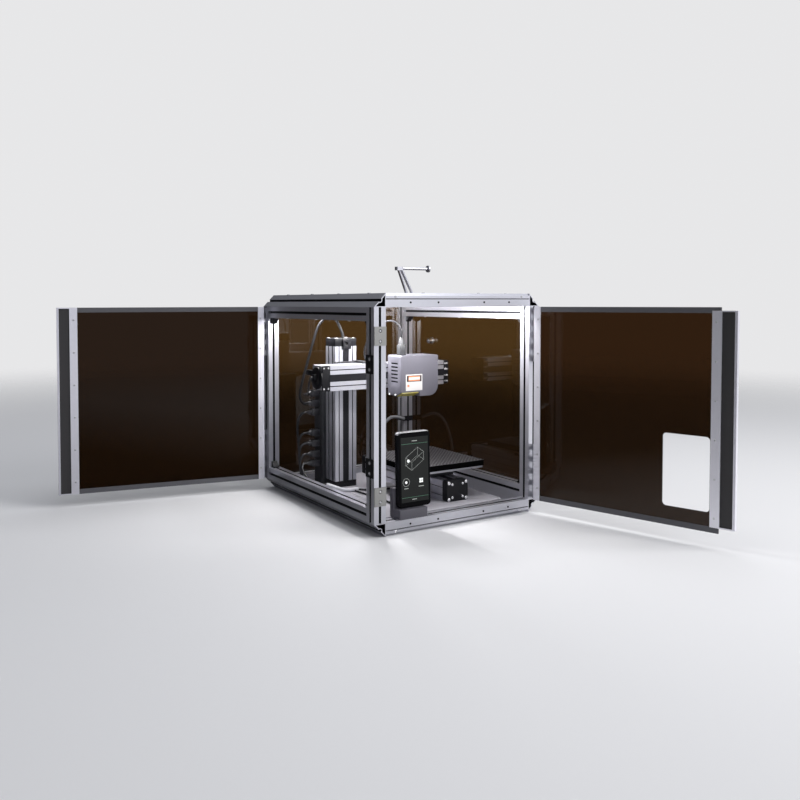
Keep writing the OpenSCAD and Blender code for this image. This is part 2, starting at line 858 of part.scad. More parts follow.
module fixed_cables() {
    color(charcoal) world() {
        tube(column_route, column_cable_r);
        for (route = loop_routes) tube(route, loop_cable_r);
        tube(sleeve_route, sleeve_r);
        tube(hose_route, hose_r);
        tube(bed_route, motor_cable_r);
        tube(screen_route, cable_r);
    }
}

// ---- X axis ----

module z_carriage() {
    plate_w = module_w + 12;
    color(black) world() translate([z_module_x - 6, x_module_y + module_t, x_module_z - 4]) {
        rotate([90, 0, 0]) mirror([0, 0, 1]) linear_extrude(carriage_t)
            rounded_rect([plate_w, module_w + 8], 5);
        // Cable clip on the carriage's top
        translate([plate_w - 16, -36, module_w + 4 + running]) cube([20, 36 + carriage_t, 5]);
    }
}

// The strip faces the front and the wide side stands upright
module x_module() {
    color(silver) world() {
        translate([x_module_x, x_module_y, x_module_z + module_w / 2]) rotate([90, 0, 90])
            linear_extrude(x_module_len) mirror([1, 0]) rotate(90) module_section();
        translate([x_module_x - motor_block_w, x_module_y + block_inset, x_module_z + block_inset])
            cube([motor_block_w, module_t - block_inset, module_w - block_inset]);
    }
}

module x_cover_strip() {
    color(black) world() translate([x_module_x, x_module_y + 0.6, x_module_z + (module_w - strip_w) / 2])
        cube([x_module_len, strip_depth - 0.6, strip_w]);
}

module x_end_caps() {
    block_x = x_module_x - motor_block_w;
    mid_y = x_module_y + module_t / 2;
    mid_z = x_module_z + module_w / 2;
    color(black) world() {
        // Front plate of the motor block, and the motor's round cap on the left
        translate([block_x, x_module_y, x_module_z]) cube([motor_block_w - 0.5, block_inset, module_w]);
        translate([block_x - motor_cap_t, mid_y, mid_z]) rotate([0, 90, 0]) difference() {
            cylinder(r = motor_cap_r, h = motor_cap_t);
            translate([0, 0, -1]) cylinder(r = 9, h = 2.2);
        }
        // Cap on the right end
        translate([x_module_x + x_module_len, x_module_y, x_module_z]) rotate([90, 0, 90])
            linear_extrude(end_block_w) rounded_rect([module_t, module_w], cap_corner);
        // Motor plug on the round cap, and the switch's plug behind the block
        translate([block_x - motor_cap_t - 9, mid_y - 6, mid_z - 3]) cube([9, 14, 12]);
        translate([block_x - 6, x_module_y + module_t, mid_z + 5]) cube([14, 27, 12]);
    }
}

module x_motor_cable() {
    color(charcoal) world() tube(x_motor_route, cable_r);
}

// ---- toolhead ----

module x_carriage() {
    color(black) world() translate([head_x + 20, x_front - carriage_t, x_module_z - 3])
        rotate([90, 0, 0]) mirror([0, 0, 1]) linear_extrude(carriage_t)
            rounded_rect([head_w - 40, module_w + 6], 5);
}

// Front outline of the case: a deep round lower right corner, small radii elsewhere
module case_outline() {
    big = 26;
    small = 4;
    difference() {
        rounded_rect([head_w, head_h], small);
        translate([head_w - big, 0]) difference() {
            translate([0, -1]) square([big + 1, big + 1]);
            translate([0, big]) circle(big, $fn = 96);
        }
    }
}

vent_count = 6;
vent_w = 28;
vent_h = 3.4;
wedge_w = 56;
wedge_h = 11.5;
wedge_d = 24;
module toolhead_case() {
    vent_z = head_h * 0.34;
    color(dark_silver) world() translate([head_x, head_y, head_z]) difference() {
        rotate([90, 0, 0]) mirror([0, 0, 1]) linear_extrude(head_d) case_outline();
        for (i = [0:vent_count - 1]) translate([-1, (head_d - vent_w) / 2, vent_z + i * 9])
            cube([4, vent_w, vent_h]);
        for (i = [0:vent_count - 1]) translate([head_w - 3, (head_d - vent_w) / 2, vent_z + i * 9])
            cube([4, vent_w, vent_h]);
        // Slope under the front, where the window lies
        rotate([90, 0, 90]) translate([0, 0, -1]) linear_extrude(wedge_w + 1)
            polygon([[-1, -1], [wedge_d + wedge_d / wedge_h, -1], [0, wedge_h], [-1, wedge_h]]);
    }
}

// Window of filter glass on the slope under the case's front
window_t = 2;
module toolhead_shield() {
    slope = atan(wedge_h / wedge_d);
    color([0.65, 0.62, 0.2]) world() translate([head_x + 3, head_y, head_z + wedge_h]) rotate([-slope, 0, 0])
        translate([0, 2, -window_t]) cube([wedge_w - 6, norm([wedge_h, wedge_d]) - 3.5, window_t]);
}

plug_body = [18, 18, 26];
module toolhead_plug() {
    neck_r = 6.5;
    color(dark_silver) world() translate([toolhead_route[0][0], toolhead_route[0][1], head_z + head_h]) {
        translate([-plug_body[0] / 2, -plug_body[1] / 2, 0]) rounded_block(plug_body, 4);
        translate([0, 0, plug_body[2]]) cylinder(r = neck_r, h = 10);
        translate([0, 0, plug_body[2] + 10]) cylinder(r1 = neck_r, r2 = 3.4, h = 8);
    }
}

module toolhead_cable() {
    color(black) world() tube(toolhead_route, cable_r);
}

// ---- bed ----

module y_carriage() {
    color(black) world() translate([y_mid, bed_y + bed_d / 2 - y_carriage_len / 2, y_top + running]) {
        translate([-module_w / 2 - 6, 0, 0]) rounded_block([module_w + 12, y_carriage_len, carriage_t], 4);
        translate([-y_spacer_w / 2, 5, carriage_t]) cube([y_spacer_w, y_carriage_len - 10, y_spacer_t]);
    }
}

module bed_platform() {
    color(silver) world() translate([bed_x + 2, bed_y + 2, platform_z])
        rounded_block([bed_w - 4, bed_d - 4, platform_t], 4);
}

module bed_plate() {
    rim = 5;
    color(black) world() translate([bed_x, bed_y, bed_z]) difference() {
        rounded_block([bed_w, bed_d, bed_t], 4);
        translate([rim, rim, bed_t - 1.2]) rounded_block([bed_w - 2 * rim, bed_d - 2 * rim, 4], 2);
    }
}

// ---- touchscreen on the front rail ----

screen_x = 73.5;
screen_y = 12;
screen_z = 51;
bezel = 4;
module on_screen() {
    world() translate([screen_x, screen_y, screen_z]) rotate([-screen_lean, 0, 0]) children();
}

module touchscreen_body() {
    color(black) on_screen() rotate([90, 0, 0]) mirror([0, 0, 1]) translate([0, 0, 1.2])
        linear_extrude(screen_t - 1.2) rounded_rect([screen_w, screen_h], 9);
}

module touchscreen_glass() {
    color(charcoal) on_screen() rotate([90, 0, 0]) mirror([0, 0, 1]) translate([bezel / 2, bezel / 2, 0])
        linear_extrude(1.2) rounded_rect([screen_w - bezel, screen_h - bezel], 7);
}

module touchscreen_stand() {
    stand_w = 73;
    stand_y = 0.5;
    stand_back = 40;
    color(charcoal) world() translate([screen_x - 6, stand_y, c]) difference() {
        union() {
            cube([stand_w, stand_back - stand_y, screen_z - c]);
            translate([0, screen_y + screen_t - stand_y, 0])
                cube([stand_w, stand_back - screen_y - screen_t, 64]);
        }
        // Slanted seat for the screen
        translate([-1, screen_y - stand_y, screen_z - c]) rotate([-screen_lean, 0, 0])
            translate([0, -20, -running]) cube([stand_w + 2, 20 + screen_t + running, 80]);
    }
}

// ---- spool holder on the top panel ----

rod_r = 3.8;
spool_x = 278;
spool_y = 282;
module rod(a, b, r) {
    v = b - a;
    translate(a) rotate([0, acos(v[2] / norm(v)), atan2(v[1], v[0])]) cylinder(r = r, h = norm(v));
}

module spool_holder() {
    color(silver) world() translate([spool_x, spool_y, h]) {
        rounded_block([54, 36, 2.5], 5);
        rod([18, 18, 2], [-8, 18, 66], rod_r);
        rod([36, 18, 2], [-2, 18, 71], rod_r);
        translate([-17, 12, 63]) rounded_block([22, 12, 9], 4);
        rod([-5, 18, 68], [88, 18, 68], rod_r);
        rod([85, 18, 68], [89, 18, 68], 9);
    }
}

// ---- fitting on the right panel's inside ----

fitting_y = 417;
fitting_z = 391;
module panel_fitting() {
    color(silver) world() translate([w, fitting_y, fitting_z]) rotate([0, -90, 0]) difference() {
        union() {
            cylinder(r = 9.5, h = 3);
            cylinder(r = 7.5, h = 14);
        }
        translate([0, 0, 4]) cylinder(r = 4.6, h = 11);
    }
}

front_left_post();
front_right_post();
back_left_post();
back_right_post();
left_rails();
right_rails();
top_side_edges();
bottom_side_edges();
front_edges();
back_edges();
top_panel();
floor_panel();
back_panel();
right_panel();
corner_brackets();
frame_screws();
strike_plates();
hinge_frame_leaves();
hinge_pins();
left_door_panel();
left_door_seals();
left_door_hinge_strip();
left_door_handle();
left_door_grip();
left_door_screws();
left_door_hinges();
front_door_panel();
front_door_seals();
front_door_hinge_strip();
front_door_handle();
front_door_grip();
front_door_screws();
front_door_hinges();
base_plate();
base_feet();
z_module();
y_module();
cover_strips();
module_end_caps();
controller();
cable_plugs();
fixed_cables();
z_carriage();
x_module();
x_cover_strip();
x_end_caps();
x_motor_cable();
x_carriage();
toolhead_case();
toolhead_shield();
toolhead_plug();
toolhead_cable();
y_carriage();
bed_platform();
bed_plate();
touchscreen_body();
touchscreen_glass();
touchscreen_stand();
spool_holder();
panel_fitting();
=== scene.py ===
import math

import bmesh
import bpy
from mathutils import Matrix, Vector


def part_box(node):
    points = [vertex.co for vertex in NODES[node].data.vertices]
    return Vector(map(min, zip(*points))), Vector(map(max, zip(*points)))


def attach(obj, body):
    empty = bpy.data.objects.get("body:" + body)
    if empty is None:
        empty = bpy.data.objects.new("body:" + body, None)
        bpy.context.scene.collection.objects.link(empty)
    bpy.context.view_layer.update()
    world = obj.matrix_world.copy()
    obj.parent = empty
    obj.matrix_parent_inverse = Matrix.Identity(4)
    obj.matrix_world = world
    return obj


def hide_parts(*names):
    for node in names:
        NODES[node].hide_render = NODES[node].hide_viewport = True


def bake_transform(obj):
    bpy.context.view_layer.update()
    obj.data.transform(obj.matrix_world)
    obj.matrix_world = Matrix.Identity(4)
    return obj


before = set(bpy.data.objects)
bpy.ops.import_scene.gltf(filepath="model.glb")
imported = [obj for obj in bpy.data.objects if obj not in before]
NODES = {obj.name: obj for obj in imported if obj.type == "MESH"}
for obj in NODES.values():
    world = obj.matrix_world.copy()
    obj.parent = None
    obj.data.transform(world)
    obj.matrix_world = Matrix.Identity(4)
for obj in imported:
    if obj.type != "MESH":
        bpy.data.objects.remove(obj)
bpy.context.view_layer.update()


# ---- node helpers ----

def link(tree, a, b):
    tree.links.new(a, b)


def feed(tree, socket, value):
    """Links an output into the socket, or sets the socket to a plain value."""
    if isinstance(value, bpy.types.NodeSocket):
        link(tree, value, socket)
    else:
        socket.default_value = value


def math_node(tree, kind, a, b=None, clamp=False):
    node = tree.nodes.new("ShaderNodeMath")
    node.operation = kind
    node.use_clamp = clamp
    feed(tree, node.inputs[0], a)
    if b is not None:
        feed(tree, node.inputs[1], b)
    return node.outputs[0]


def vector_math(tree, kind, a, b=None, output="Vector"):
    node = tree.nodes.new("ShaderNodeVectorMath")
    node.operation = kind
    feed(tree, node.inputs[0], a)
    if b is not None:
        feed(tree, node.inputs[1], b)
    return node.outputs[output]


def map_range(tree, value, low, high, to_low=0.0, to_high=1.0, kind="LINEAR"):
    """Goes from to_low to to_high as the value goes from low to high, and no further."""
    node = tree.nodes.new("ShaderNodeMapRange")
    node.interpolation_type = kind
    node.inputs["From Min"].default_value = low
    node.inputs["From Max"].default_value = high
    node.inputs["To Min"].default_value = to_low
    node.inputs["To Max"].default_value = to_high
    link(tree, value, node.inputs["Value"])
    return node.outputs["Result"]


def split_xyz(tree, vector):
    """The vector's parts, by the names X, Y and Z."""
    node = tree.nodes.new("ShaderNodeSeparateXYZ")
    link(tree, vector, node.inputs[0])
    return node.outputs


def noise(tree, vector, scale, detail=2, roughness=0.5):
    node = tree.nodes.new("ShaderNodeTexNoise")
    feed(tree, node.inputs["Scale"], scale)
    node.inputs["Detail"].default_value = detail
    node.inputs["Roughness"].default_value = roughness
    link(tree, vector, node.inputs["Vector"])
    return node.outputs["Fac"]


def mix_shaders(tree, factor, first, second, target):
    mix = tree.nodes.new("ShaderNodeMixShader")
    link(tree, factor, mix.inputs[0])
    link(tree, first, mix.inputs[1])
    link(tree, second, mix.inputs[2])
    link(tree, mix.outputs[0], target)


# ---- camera, light and floor ----

CAMERA_PLACE = (-1.140, -1.668, 0.500)
# In degrees: the turn to the right, the tilt down from level, and the roll
CAMERA_TURN, CAMERA_TILT, CAMERA_ROLL = 29.84, 1.951, 0.13
LENS = 35.72
LENS_SHIFT = (0.087, -0.088)
# The soft light comes from the front right, and the machine's left side lies in shade
BRIGHT_SIDE = (0.66, -0.68, 0.32)
BACKGROUND = (0.80, 0.80, 0.81, 1)
SKY = (0.90, 0.93, 1.0, 1)
FLOOR_COLOUR = (0.78, 0.78, 0.79, 1)
# On the shaded side and on the bright one: strength of the light, and the floor's painted shade in
# reflections
SKY_STRENGTH = (0.05, 0.7)
REFLECTED_FLOOR_SHADE = (0.05, 0.9)
# The floor fades into the background between two distances from the middle, before its rim
FLOOR_FADE = (1.3, 5.0)
FLOOR_RADIUS = 6
# Name, place, what it points at, size, watts and tint
STUDIO_LAMPS = (
    ("key", (1.7, -2.3, 1.9), (0, 0, 0.25), (1.6, 1.2), 52, (1, 0.98, 0.96)),
    ("top", (0.3, -0.1, 2.6), (0, 0, 0.2), (2.2, 2.2), 30, (0.97, 0.98, 1)))
INNER_LAMPS = (
    ("light_bar", (0.0, -0.222, 0.484), (0.12, 0.22, 0.30), (0.36, 0.02), 1.6, (1, 0.98, 0.97)),
    ("side_bar", (-0.08, 0.01, 0.480), (0.05, 0.0, 0.28), (0.24, 0.02), 2.3, (1, 0.99, 1)),
    ("rear_bar", (-0.165, 0.10, 0.484), (-0.17, 0.12, 0.1), (0.06, 0.02), 0.8, (1, 0.99, 1)))


def add_camera():
    data = bpy.data.cameras.new("camera")
    camera = bpy.data.objects.new("camera", data)
    bpy.context.scene.collection.objects.link(camera)
    data.sensor_width = 36
    data.lens = LENS
    data.shift_x, data.shift_y = LENS_SHIFT
    data.clip_start = 0.05
    data.clip_end = 60
    turn = Matrix.Rotation(math.radians(-CAMERA_TURN), 4, "Z")
    tilt = Matrix.Rotation(math.radians(90 - CAMERA_TILT), 4, "X")
    roll = Matrix.Rotation(math.radians(-CAMERA_ROLL), 4, "Z")
    camera.matrix_world = Matrix.Translation(CAMERA_PLACE) @ (turn @ tilt @ roll)
    bpy.context.scene.camera = camera


def add_lamp(name, place, target, size, watts, tint):
    data = bpy.data.lights.new(name, "AREA")
    data.shape = "RECTANGLE"
    data.size, data.size_y = size
    data.energy = watts
    data.color = tint
    lamp = bpy.data.objects.new(name, data)
    bpy.context.scene.collection.objects.link(lamp)
    lamp.location = place
    lamp.rotation_euler = (Vector(target) - Vector(place)).to_track_quat("-Z", "Y").to_euler()
    return lamp


def add_lamps():
    """The studio's lamps, and small ones under the top panel, which light the machine but aren't seen."""
    for facts in STUDIO_LAMPS:
        add_lamp(*facts)
    for facts in INNER_LAMPS:
        lamp = add_lamp(*facts)
        lamp.visible_camera = False
        lamp.visible_transmission = False


def add_world():
    """A pale background to look at, and a light that fades towards the shaded side."""
    world = bpy.data.worlds.new("studio")
    bpy.context.scene.world = world
    world.use_nodes = True
    tree = world.node_tree
    tree.nodes.clear()
    out = tree.nodes.new("ShaderNodeOutputWorld")
    seen = tree.nodes.new("ShaderNodeBackground")
    seen.inputs["Color"].default_value = BACKGROUND
    light = tree.nodes.new("ShaderNodeBackground")
    light.inputs["Color"].default_value = SKY
    coord = tree.nodes.new("ShaderNodeTexCoord")
    side = vector_math(tree, "DOT_PRODUCT", coord.outputs["Generated"], BRIGHT_SIDE, "Value")
    link(tree, map_range(tree, side, -0.45, 0.9, *SKY_STRENGTH), light.inputs["Strength"])
    path = tree.nodes.new("ShaderNodeLightPath")
    looked_at = math_node(tree, "MAXIMUM", path.outputs["Is Camera Ray"],
                          path.outputs["Is Transmission Ray"])
    mix_shaders(tree, looked_at, light.outputs[0], seen.outputs[0], out.inputs["Surface"])


def add_floor():
    bpy.ops.object.select_all(action="DESELECT")
    bpy.ops.mesh.primitive_circle_add(vertices=96, radius=FLOOR_RADIUS, fill_type="NGON")
    floor = bpy.context.object
    floor.name = "studio_floor"
    mat = bpy.data.materials.new("pale_floor")
    mat.use_nodes = True
    tree = mat.node_tree
    shader = tree.nodes["Principled BSDF"]
    shader.inputs["Roughness"].default_value = 0.75
    shader.inputs["Specular IOR Level"].default_value = 0.2
    place = tree.nodes.new("ShaderNodeTexCoord").outputs["Object"]
    # Painted shade: in the metal's reflections the floor is painted darker towards the shaded side, and a
    # little paler towards the bright one
    side = vector_math(tree, "DOT_PRODUCT", place, BRIGHT_SIDE, "Value")
    path = tree.nodes.new("ShaderNodeLightPath")
    mirrored = math_node(tree, "SUBTRACT", path.outputs["Is Glossy Ray"],
                         path.outputs["Is Transmission Ray"], clamp=True)
    tone = tree.nodes.new("ShaderNodeMix")
    tone.data_type = "RGBA"
    tone.inputs[6].default_value = FLOOR_COLOUR
    link(tree, mirrored, tone.inputs["Factor"])
    link(tree, map_range(tree, side, -0.2, 0.7, *REFLECTED_FLOOR_SHADE), tone.inputs[7])
    link(tree, tone.outputs[2], shader.inputs["Base Color"])
    reach = vector_math(tree, "LENGTH", place, output="Value")
    fade = map_range(tree, reach, *FLOOR_FADE, kind="SMOOTHSTEP")
    clear = tree.nodes.new("ShaderNodeBsdfTransparent")
    mix_shaders(tree, fade, shader.outputs[0], clear.outputs[0],
                tree.nodes["Material Output"].inputs["Surface"])
    floor.data.materials.append(mat)


add_camera()
bpy.context.scene.view_settings.view_transform = "Standard"
add_world()
add_floor()
add_lamps()


# ---- shader groups ----

def new_group(name, inputs, outputs):
    """A node group with a place to read, further inputs, and outputs that are plain values."""
    group = bpy.data.node_groups.new(name, "ShaderNodeTree")
    for label, kind, value in [("Vector", "NodeSocketVector", (0, 0, 0))] + inputs:
        socket = group.interface.new_socket(name=label, in_out="INPUT", socket_type=kind)
        socket.default_value = value
    for label in outputs:
        group.interface.new_socket(name=label, in_out="OUTPUT", socket_type="NodeSocketFloat")
    return group, group.nodes.new("NodeGroupInput").outputs, group.nodes.new("NodeGroupOutput").inputs


def weighted_sum(tree, first, share, second):
    """A share of the first, and the rest of the second."""
    return math_node(tree, "ADD", math_node(tree, "MULTIPLY", first, share),
                     math_node(tree, "MULTIPLY", second, 1 - share))


def make_wear_group():
    """Slow blotches, fine specks and handling smudges, for the colour and the gloss of any finish."""
    group, given, out = new_group(
        "handling_marks", [("Amount", "NodeSocketFloat", 0.5)], ["Shade", "Smudge"])
    blotches = weighted_sum(group, noise(group, given["Vector"], 7, 4), 0.65,
                            noise(group, given["Vector"], 160))
    swing = math_node(group, "MULTIPLY", math_node(group, "SUBTRACT", blotches, 0.5), given["Amount"])
    link(group, math_node(group, "ADD", swing, 1), out["Shade"])
    streaks = map_range(group, noise(group, given["Vector"], 31, 5, 0.65), 0.42, 0.68)
    link(group, math_node(group, "MULTIPLY", streaks, given["Amount"]), out["Smudge"])
    return group


def make_line_group():
    """Drawn lines along one direction: the vector is squeezed before it comes in."""
    group, given, out = new_group("drawn_lines", [("Scale", "NodeSocketFloat", 900.0)], ["Height"])
    link(group, noise(group, given["Vector"], given["Scale"]), out["Height"])
    return group


def make_grain_group():
    """The fine pebble of moulded plastic, powder coat and rubber."""
    group, given, out = new_group("pebble_grain", [("Scale", "NodeSocketFloat", 1200.0)], ["Height"])
    cells = group.nodes.new("ShaderNodeTexVoronoi")
    link(group, given["Vector"], cells.inputs["Vector"])
    link(group, given["Scale"], cells.inputs["Scale"])
    specks = noise(group, given["Vector"], given["Scale"])
    link(group, weighted_sum(group, cells.outputs["Distance"], 0.6, specks), out["Height"])
    return group


def make_region_group():
    """1 inside an upright box, given by its middle and its half sizes, and 0 outside."""
    group, given, out = new_group(
        "box_region",
        [("Middle", "NodeSocketVector", (0, 0, 0)), ("Half", "NodeSocketVector", (0.01, 0.01, 0.01))],
        ["Mask"])
    away = vector_math(group, "ABSOLUTE", vector_math(group, "SUBTRACT", given["Vector"], given["Middle"]))
    over = split_xyz(group, vector_math(group, "SUBTRACT", away, given["Half"]))
    widest = math_node(group, "MAXIMUM", math_node(group, "MAXIMUM", over["X"], over["Y"]), over["Z"])
    link(group, math_node(group, "LESS_THAN", widest, 0.0), out["Mask"])
    return group


WEAR = make_wear_group()
REGION = make_region_group()
LINES = make_line_group()
GRAIN = make_grain_group()


# ---- materials ----

# How much a place is squeezed along a profile, so that specks are drawn out into lines
LINE_SQUEEZE = 0.02


class Finish:
    """One material with its shader and the nodes that vary it."""

    def __init__(self, name, colour, roughness, metallic=0.0):
        self.mat = bpy.data.materials.new(name)
        self.mat.use_nodes = True
        self.tree = self.mat.node_tree
        self.shader = self.tree.nodes["Principled BSDF"]
        self.colour = colour
        self.roughness = roughness
        self.shader.inputs["Base Color"].default_value = (*colour, 1)
        self.shader.inputs["Roughness"].default_value = roughness
        self.shader.inputs["Metallic"].default_value = metallic
        self.coord = self.tree.nodes.new("ShaderNodeTexCoord").outputs["Object"]
        self.colour_out = None
        self.rough_out = None
        self.normal_out = None

    def group(self, group, vector=None, **values):
        """Places a node group with its own values and returns its outputs."""
        node = self.tree.nodes.new("ShaderNodeGroup")
        node.node_tree = group
        link(self.tree, vector or self.coord, node.inputs["Vector"])
        for label, value in values.items():
            node.inputs[label].default_value = value
        return node.outputs

    def math(self, kind, a, b=None):
        return math_node(self.tree, kind, a, b)

    def squeezed(self, along):
        """The place, squeezed along one axis: 0 is X, 1 is Y, 2 is Z."""
        node = self.tree.nodes.new("ShaderNodeMapping")
        factors = [1.0, 1.0, 1.0]
        factors[along] = LINE_SQUEEZE
        node.inputs["Scale"].default_value = factors
        link(self.tree, self.coord, node.inputs["Vector"])
        return node.outputs["Vector"]

    def folded(self):
        """The four posts, rails or edges laid over each other: distances from the enclosure's middle."""
        return vector_math(self.tree, "ABSOLUTE", vector_math(self.tree, "SUBTRACT", self.coord, MIDDLE))

    def split(self, vector):
        return split_xyz(self.tree, vector)

    def surface(self, kind):
        """Normal or True Normal of the surface."""
        return self.tree.nodes.new("ShaderNodeNewGeometry").outputs[kind]

    def region(self, low, high, vector=None):
        """1 between two corners, and 0 outside."""
        low, high = Vector(low), Vector(high)
        return self.group(REGION, vector, Middle=(low + high) / 2, Half=(high - low) / 2)["Mask"]

    def near(self, place, radius):
        """1 within a distance of a place, and 0 outside."""
        away = vector_math(self.tree, "DISTANCE", self.coord, place, "Value")
        return self.math("LESS_THAN", away, radius)

    def marks(self, amount, smudge):
        """Varies the colour by the marks, and the roughness by their smudges."""
        marks = self.group(WEAR, Amount=amount)
        mix = self.tree.nodes.new("ShaderNodeVectorMath")
        mix.operation = "SCALE"
        mix.inputs[0].default_value = self.colour
        link(self.tree, marks["Shade"], mix.inputs["Scale"])
        self.colour_out = mix.outputs["Vector"]
        rough = self.math("MULTIPLY", marks["Smudge"], smudge)
        self.rough_out = math_node(self.tree, "ADD", rough, self.roughness, clamp=True)

    def tint(self, mask, other):
        """Goes over from the marked colour to another one where the mask is 1."""
        mix = self.tree.nodes.new("ShaderNodeMix")
        mix.data_type = "RGBA"
        link(self.tree, mask, mix.inputs["Factor"])
        link(self.tree, self.colour_out, mix.inputs[6])
        mix.inputs[7].default_value = (*other, 1)
        self.colour_out = mix.outputs[2]

    def drive(self, label, value):
        """Lets a value that changes over the surface set one of the shader's inputs."""
        link(self.tree, value, self.shader.inputs[label])

    def fade(self, label, value, mask):
        """Sets one of the shader's inputs to a value, and to 0 where the mask is 1."""
        self.drive(label, self.math("MULTIPLY", self.math("SUBTRACT", 1.0, mask), value))

    def bump(self, height, strength, distance=0.00015):
        node = self.tree.nodes.new("ShaderNodeBump")
        node.inputs["Strength"].default_value = strength
        node.inputs["Distance"].default_value = distance
        link(self.tree, height, node.inputs["Height"])
        self.normal_out = node.outputs["Normal"]

    def done(self):
        self.drive("Base Color", self.colour_out)
        self.drive("Roughness", self.rough_out)
        if self.normal_out is not None:
            self.drive("Normal", self.normal_out)
        return self.mat


LEFT_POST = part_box("front_left_post")
# Half the enclosure's size, its middle, and how thick its profiles are
HALF = Vector((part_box("front_right_post")[1].x - LEFT_POST[0].x,
               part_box("back_left_post")[1].y - LEFT_POST[0].y,
               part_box("top_side_edges")[1].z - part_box("bottom_side_edges")[0].z)) / 2
MIDDLE = Vector((0, 0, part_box("bottom_side_edges")[0].z + HALF.z))
PROFILE = LEFT_POST[1].x - LEFT_POST[0].x
# How far a mask keeps from a surface that it doesn't colour, or goes past one that it does
SKIN = 0.0002
SLOT_SHADE = (0.012, 0.012, 0.016)
BORE_SHADE = (0.012, 0.012, 0.012)


def drawn_metal(name, colour, roughness, along, lines=0.12, metallic=1.0, slots=None):
    """Extruded metal with lines along one axis: 0 is X, 1 is Y, 2 is Z. slots masks what lies in shade."""
    finish = Finish(name, colour, roughness, metallic)
    finish.marks(0.14, 0.10)
    if slots is not None:
        finish.tint(slots(finish), SLOT_SHADE)
    drawn = finish.group(LINES, finish.squeezed(along), Scale=700.0)
    finish.bump(drawn["Height"], lines, 0.00012)
    return finish.done()


def anodised(name, along, slots=None):
    """The silver of the frame's profiles and the linear modules."""
    return drawn_metal(name, (0.66, 0.66, 0.72), 0.36, along, 0.12, 0.78, slots)


def grained(name, colour, roughness, scale=1300.0, strength=0.25, marks=0.16, shine=0.5):
    """Moulded plastic, rubber or powder coat."""
    finish = Finish(name, colour, roughness)
    finish.shader.inputs["Specular IOR Level"].default_value = shine
    finish.marks(marks, 0.14)
    finish.bump(finish.group(GRAIN, Scale=scale)["Height"], strength)
    return finish.done()


# Painted light: the amber sheets are painted paler between these two heights, a glow that stands in for
# the light from above
PAINTED_GLOW_FROM, PAINTED_GLOW_TO = 0.19, 0.42


def clear_sheet(name, colour, upper=None, mirror=1.0):
    """Tinted acrylic with fine wiping marks. upper is its colour higher up, a painted glow that stands in
    for light from above, and mirror dims its shine.
    """
    finish = Finish(name, colour, 0.03)
    finish.shader.inputs["Transmission Weight"].default_value = 1.0
    finish.shader.inputs["IOR"].default_value = 1.49
    finish.shader.inputs["Specular IOR Level"].default_value = 0.07
    finish.shader.inputs["Specular Tint"].default_value = (mirror, mirror, mirror, 1)
    finish.marks(0.10, 0.05)
    if upper is not None:
        # Painted light: the sheet goes paler higher up, as if lit from above
        height = finish.split(finish.coord)["Z"]
        finish.tint(map_range(finish.tree, height, PAINTED_GLOW_FROM, PAINTED_GLOW_TO, kind="SMOOTHSTEP"), upper)
    return finish.done()


def glowing(name, colour, strength):
    """A line or a spot of the lit display."""
    finish = Finish(name, colour, 0.4)
    finish.shader.inputs["Emission Color"].default_value = (*colour, 1)
    finish.shader.inputs["Emission Strength"].default_value = strength
    finish.marks(0.1, 0.05)
    return finish.done()


def post_slots(finish):
    """What lies behind the faces of a post: its slots and its hollow."""
    return finish.region((HALF.x - PROFILE + SKIN, HALF.y - PROFILE + SKIN, 0),
                         (HALF.x - SKIN, HALF.y - SKIN, HALF.z), finish.folded())


def rail_slots(finish):
    """What lies behind the faces of a rail: its slots and its hollow."""
    return finish.region((HALF.x - PROFILE + SKIN, 0, HALF.z - 2 * PROFILE + SKIN),
                         (HALF.x - SKIN, HALF.y, HALF.z - PROFILE - SKIN), finish.folded())


# Just short of the floor of the groove in a front or back edge's face
GROOVE_FLOOR = 0.00299


def cross_edge_slots(finish):
    """The floor of the face's groove and the slot towards the doorway, but not the chamfer."""
    return finish.region((0, HALF.y - PROFILE + GROOVE_FLOOR, HALF.z - PROFILE + SKIN),
                         (HALF.x, HALF.y - GROOVE_FLOOR, HALF.z - GROOVE_FLOOR), finish.folded())


def side_edge_slots(finish):
    """Everything behind the chamfer's plane, apart from the cut ends."""
    folded = finish.folded()
    box = finish.region((HALF.x - PROFILE + SKIN, 0, HALF.z - PROFILE + SKIN),
                        (HALF.x, HALF.y - SKIN, HALF.z), folded)
    place = finish.split(folded)
    reach = finish.math("ADD", place["X"], place["Z"])
    behind = finish.math("LESS_THAN", reach, HALF.x + HALF.z - PROFILE - 2 * SKIN)
    return finish.math("MULTIPLY", box, behind)


# Each flank of a linear module has two grooves, at these shares of its thickness
FLANK_GROOVES = (0.3, 0.7)
FLANK_GROOVE_DEPTH, FLANK_GROOVE_HALF = 0.003, 0.0027
# Its strip side has a groove on each side of the strip, at this share of its half width
STRIP_GROOVE = 0.64
STRIP_GROOVE_DEPTH, STRIP_GROOVE_HALF = 0.0046, 0.0014


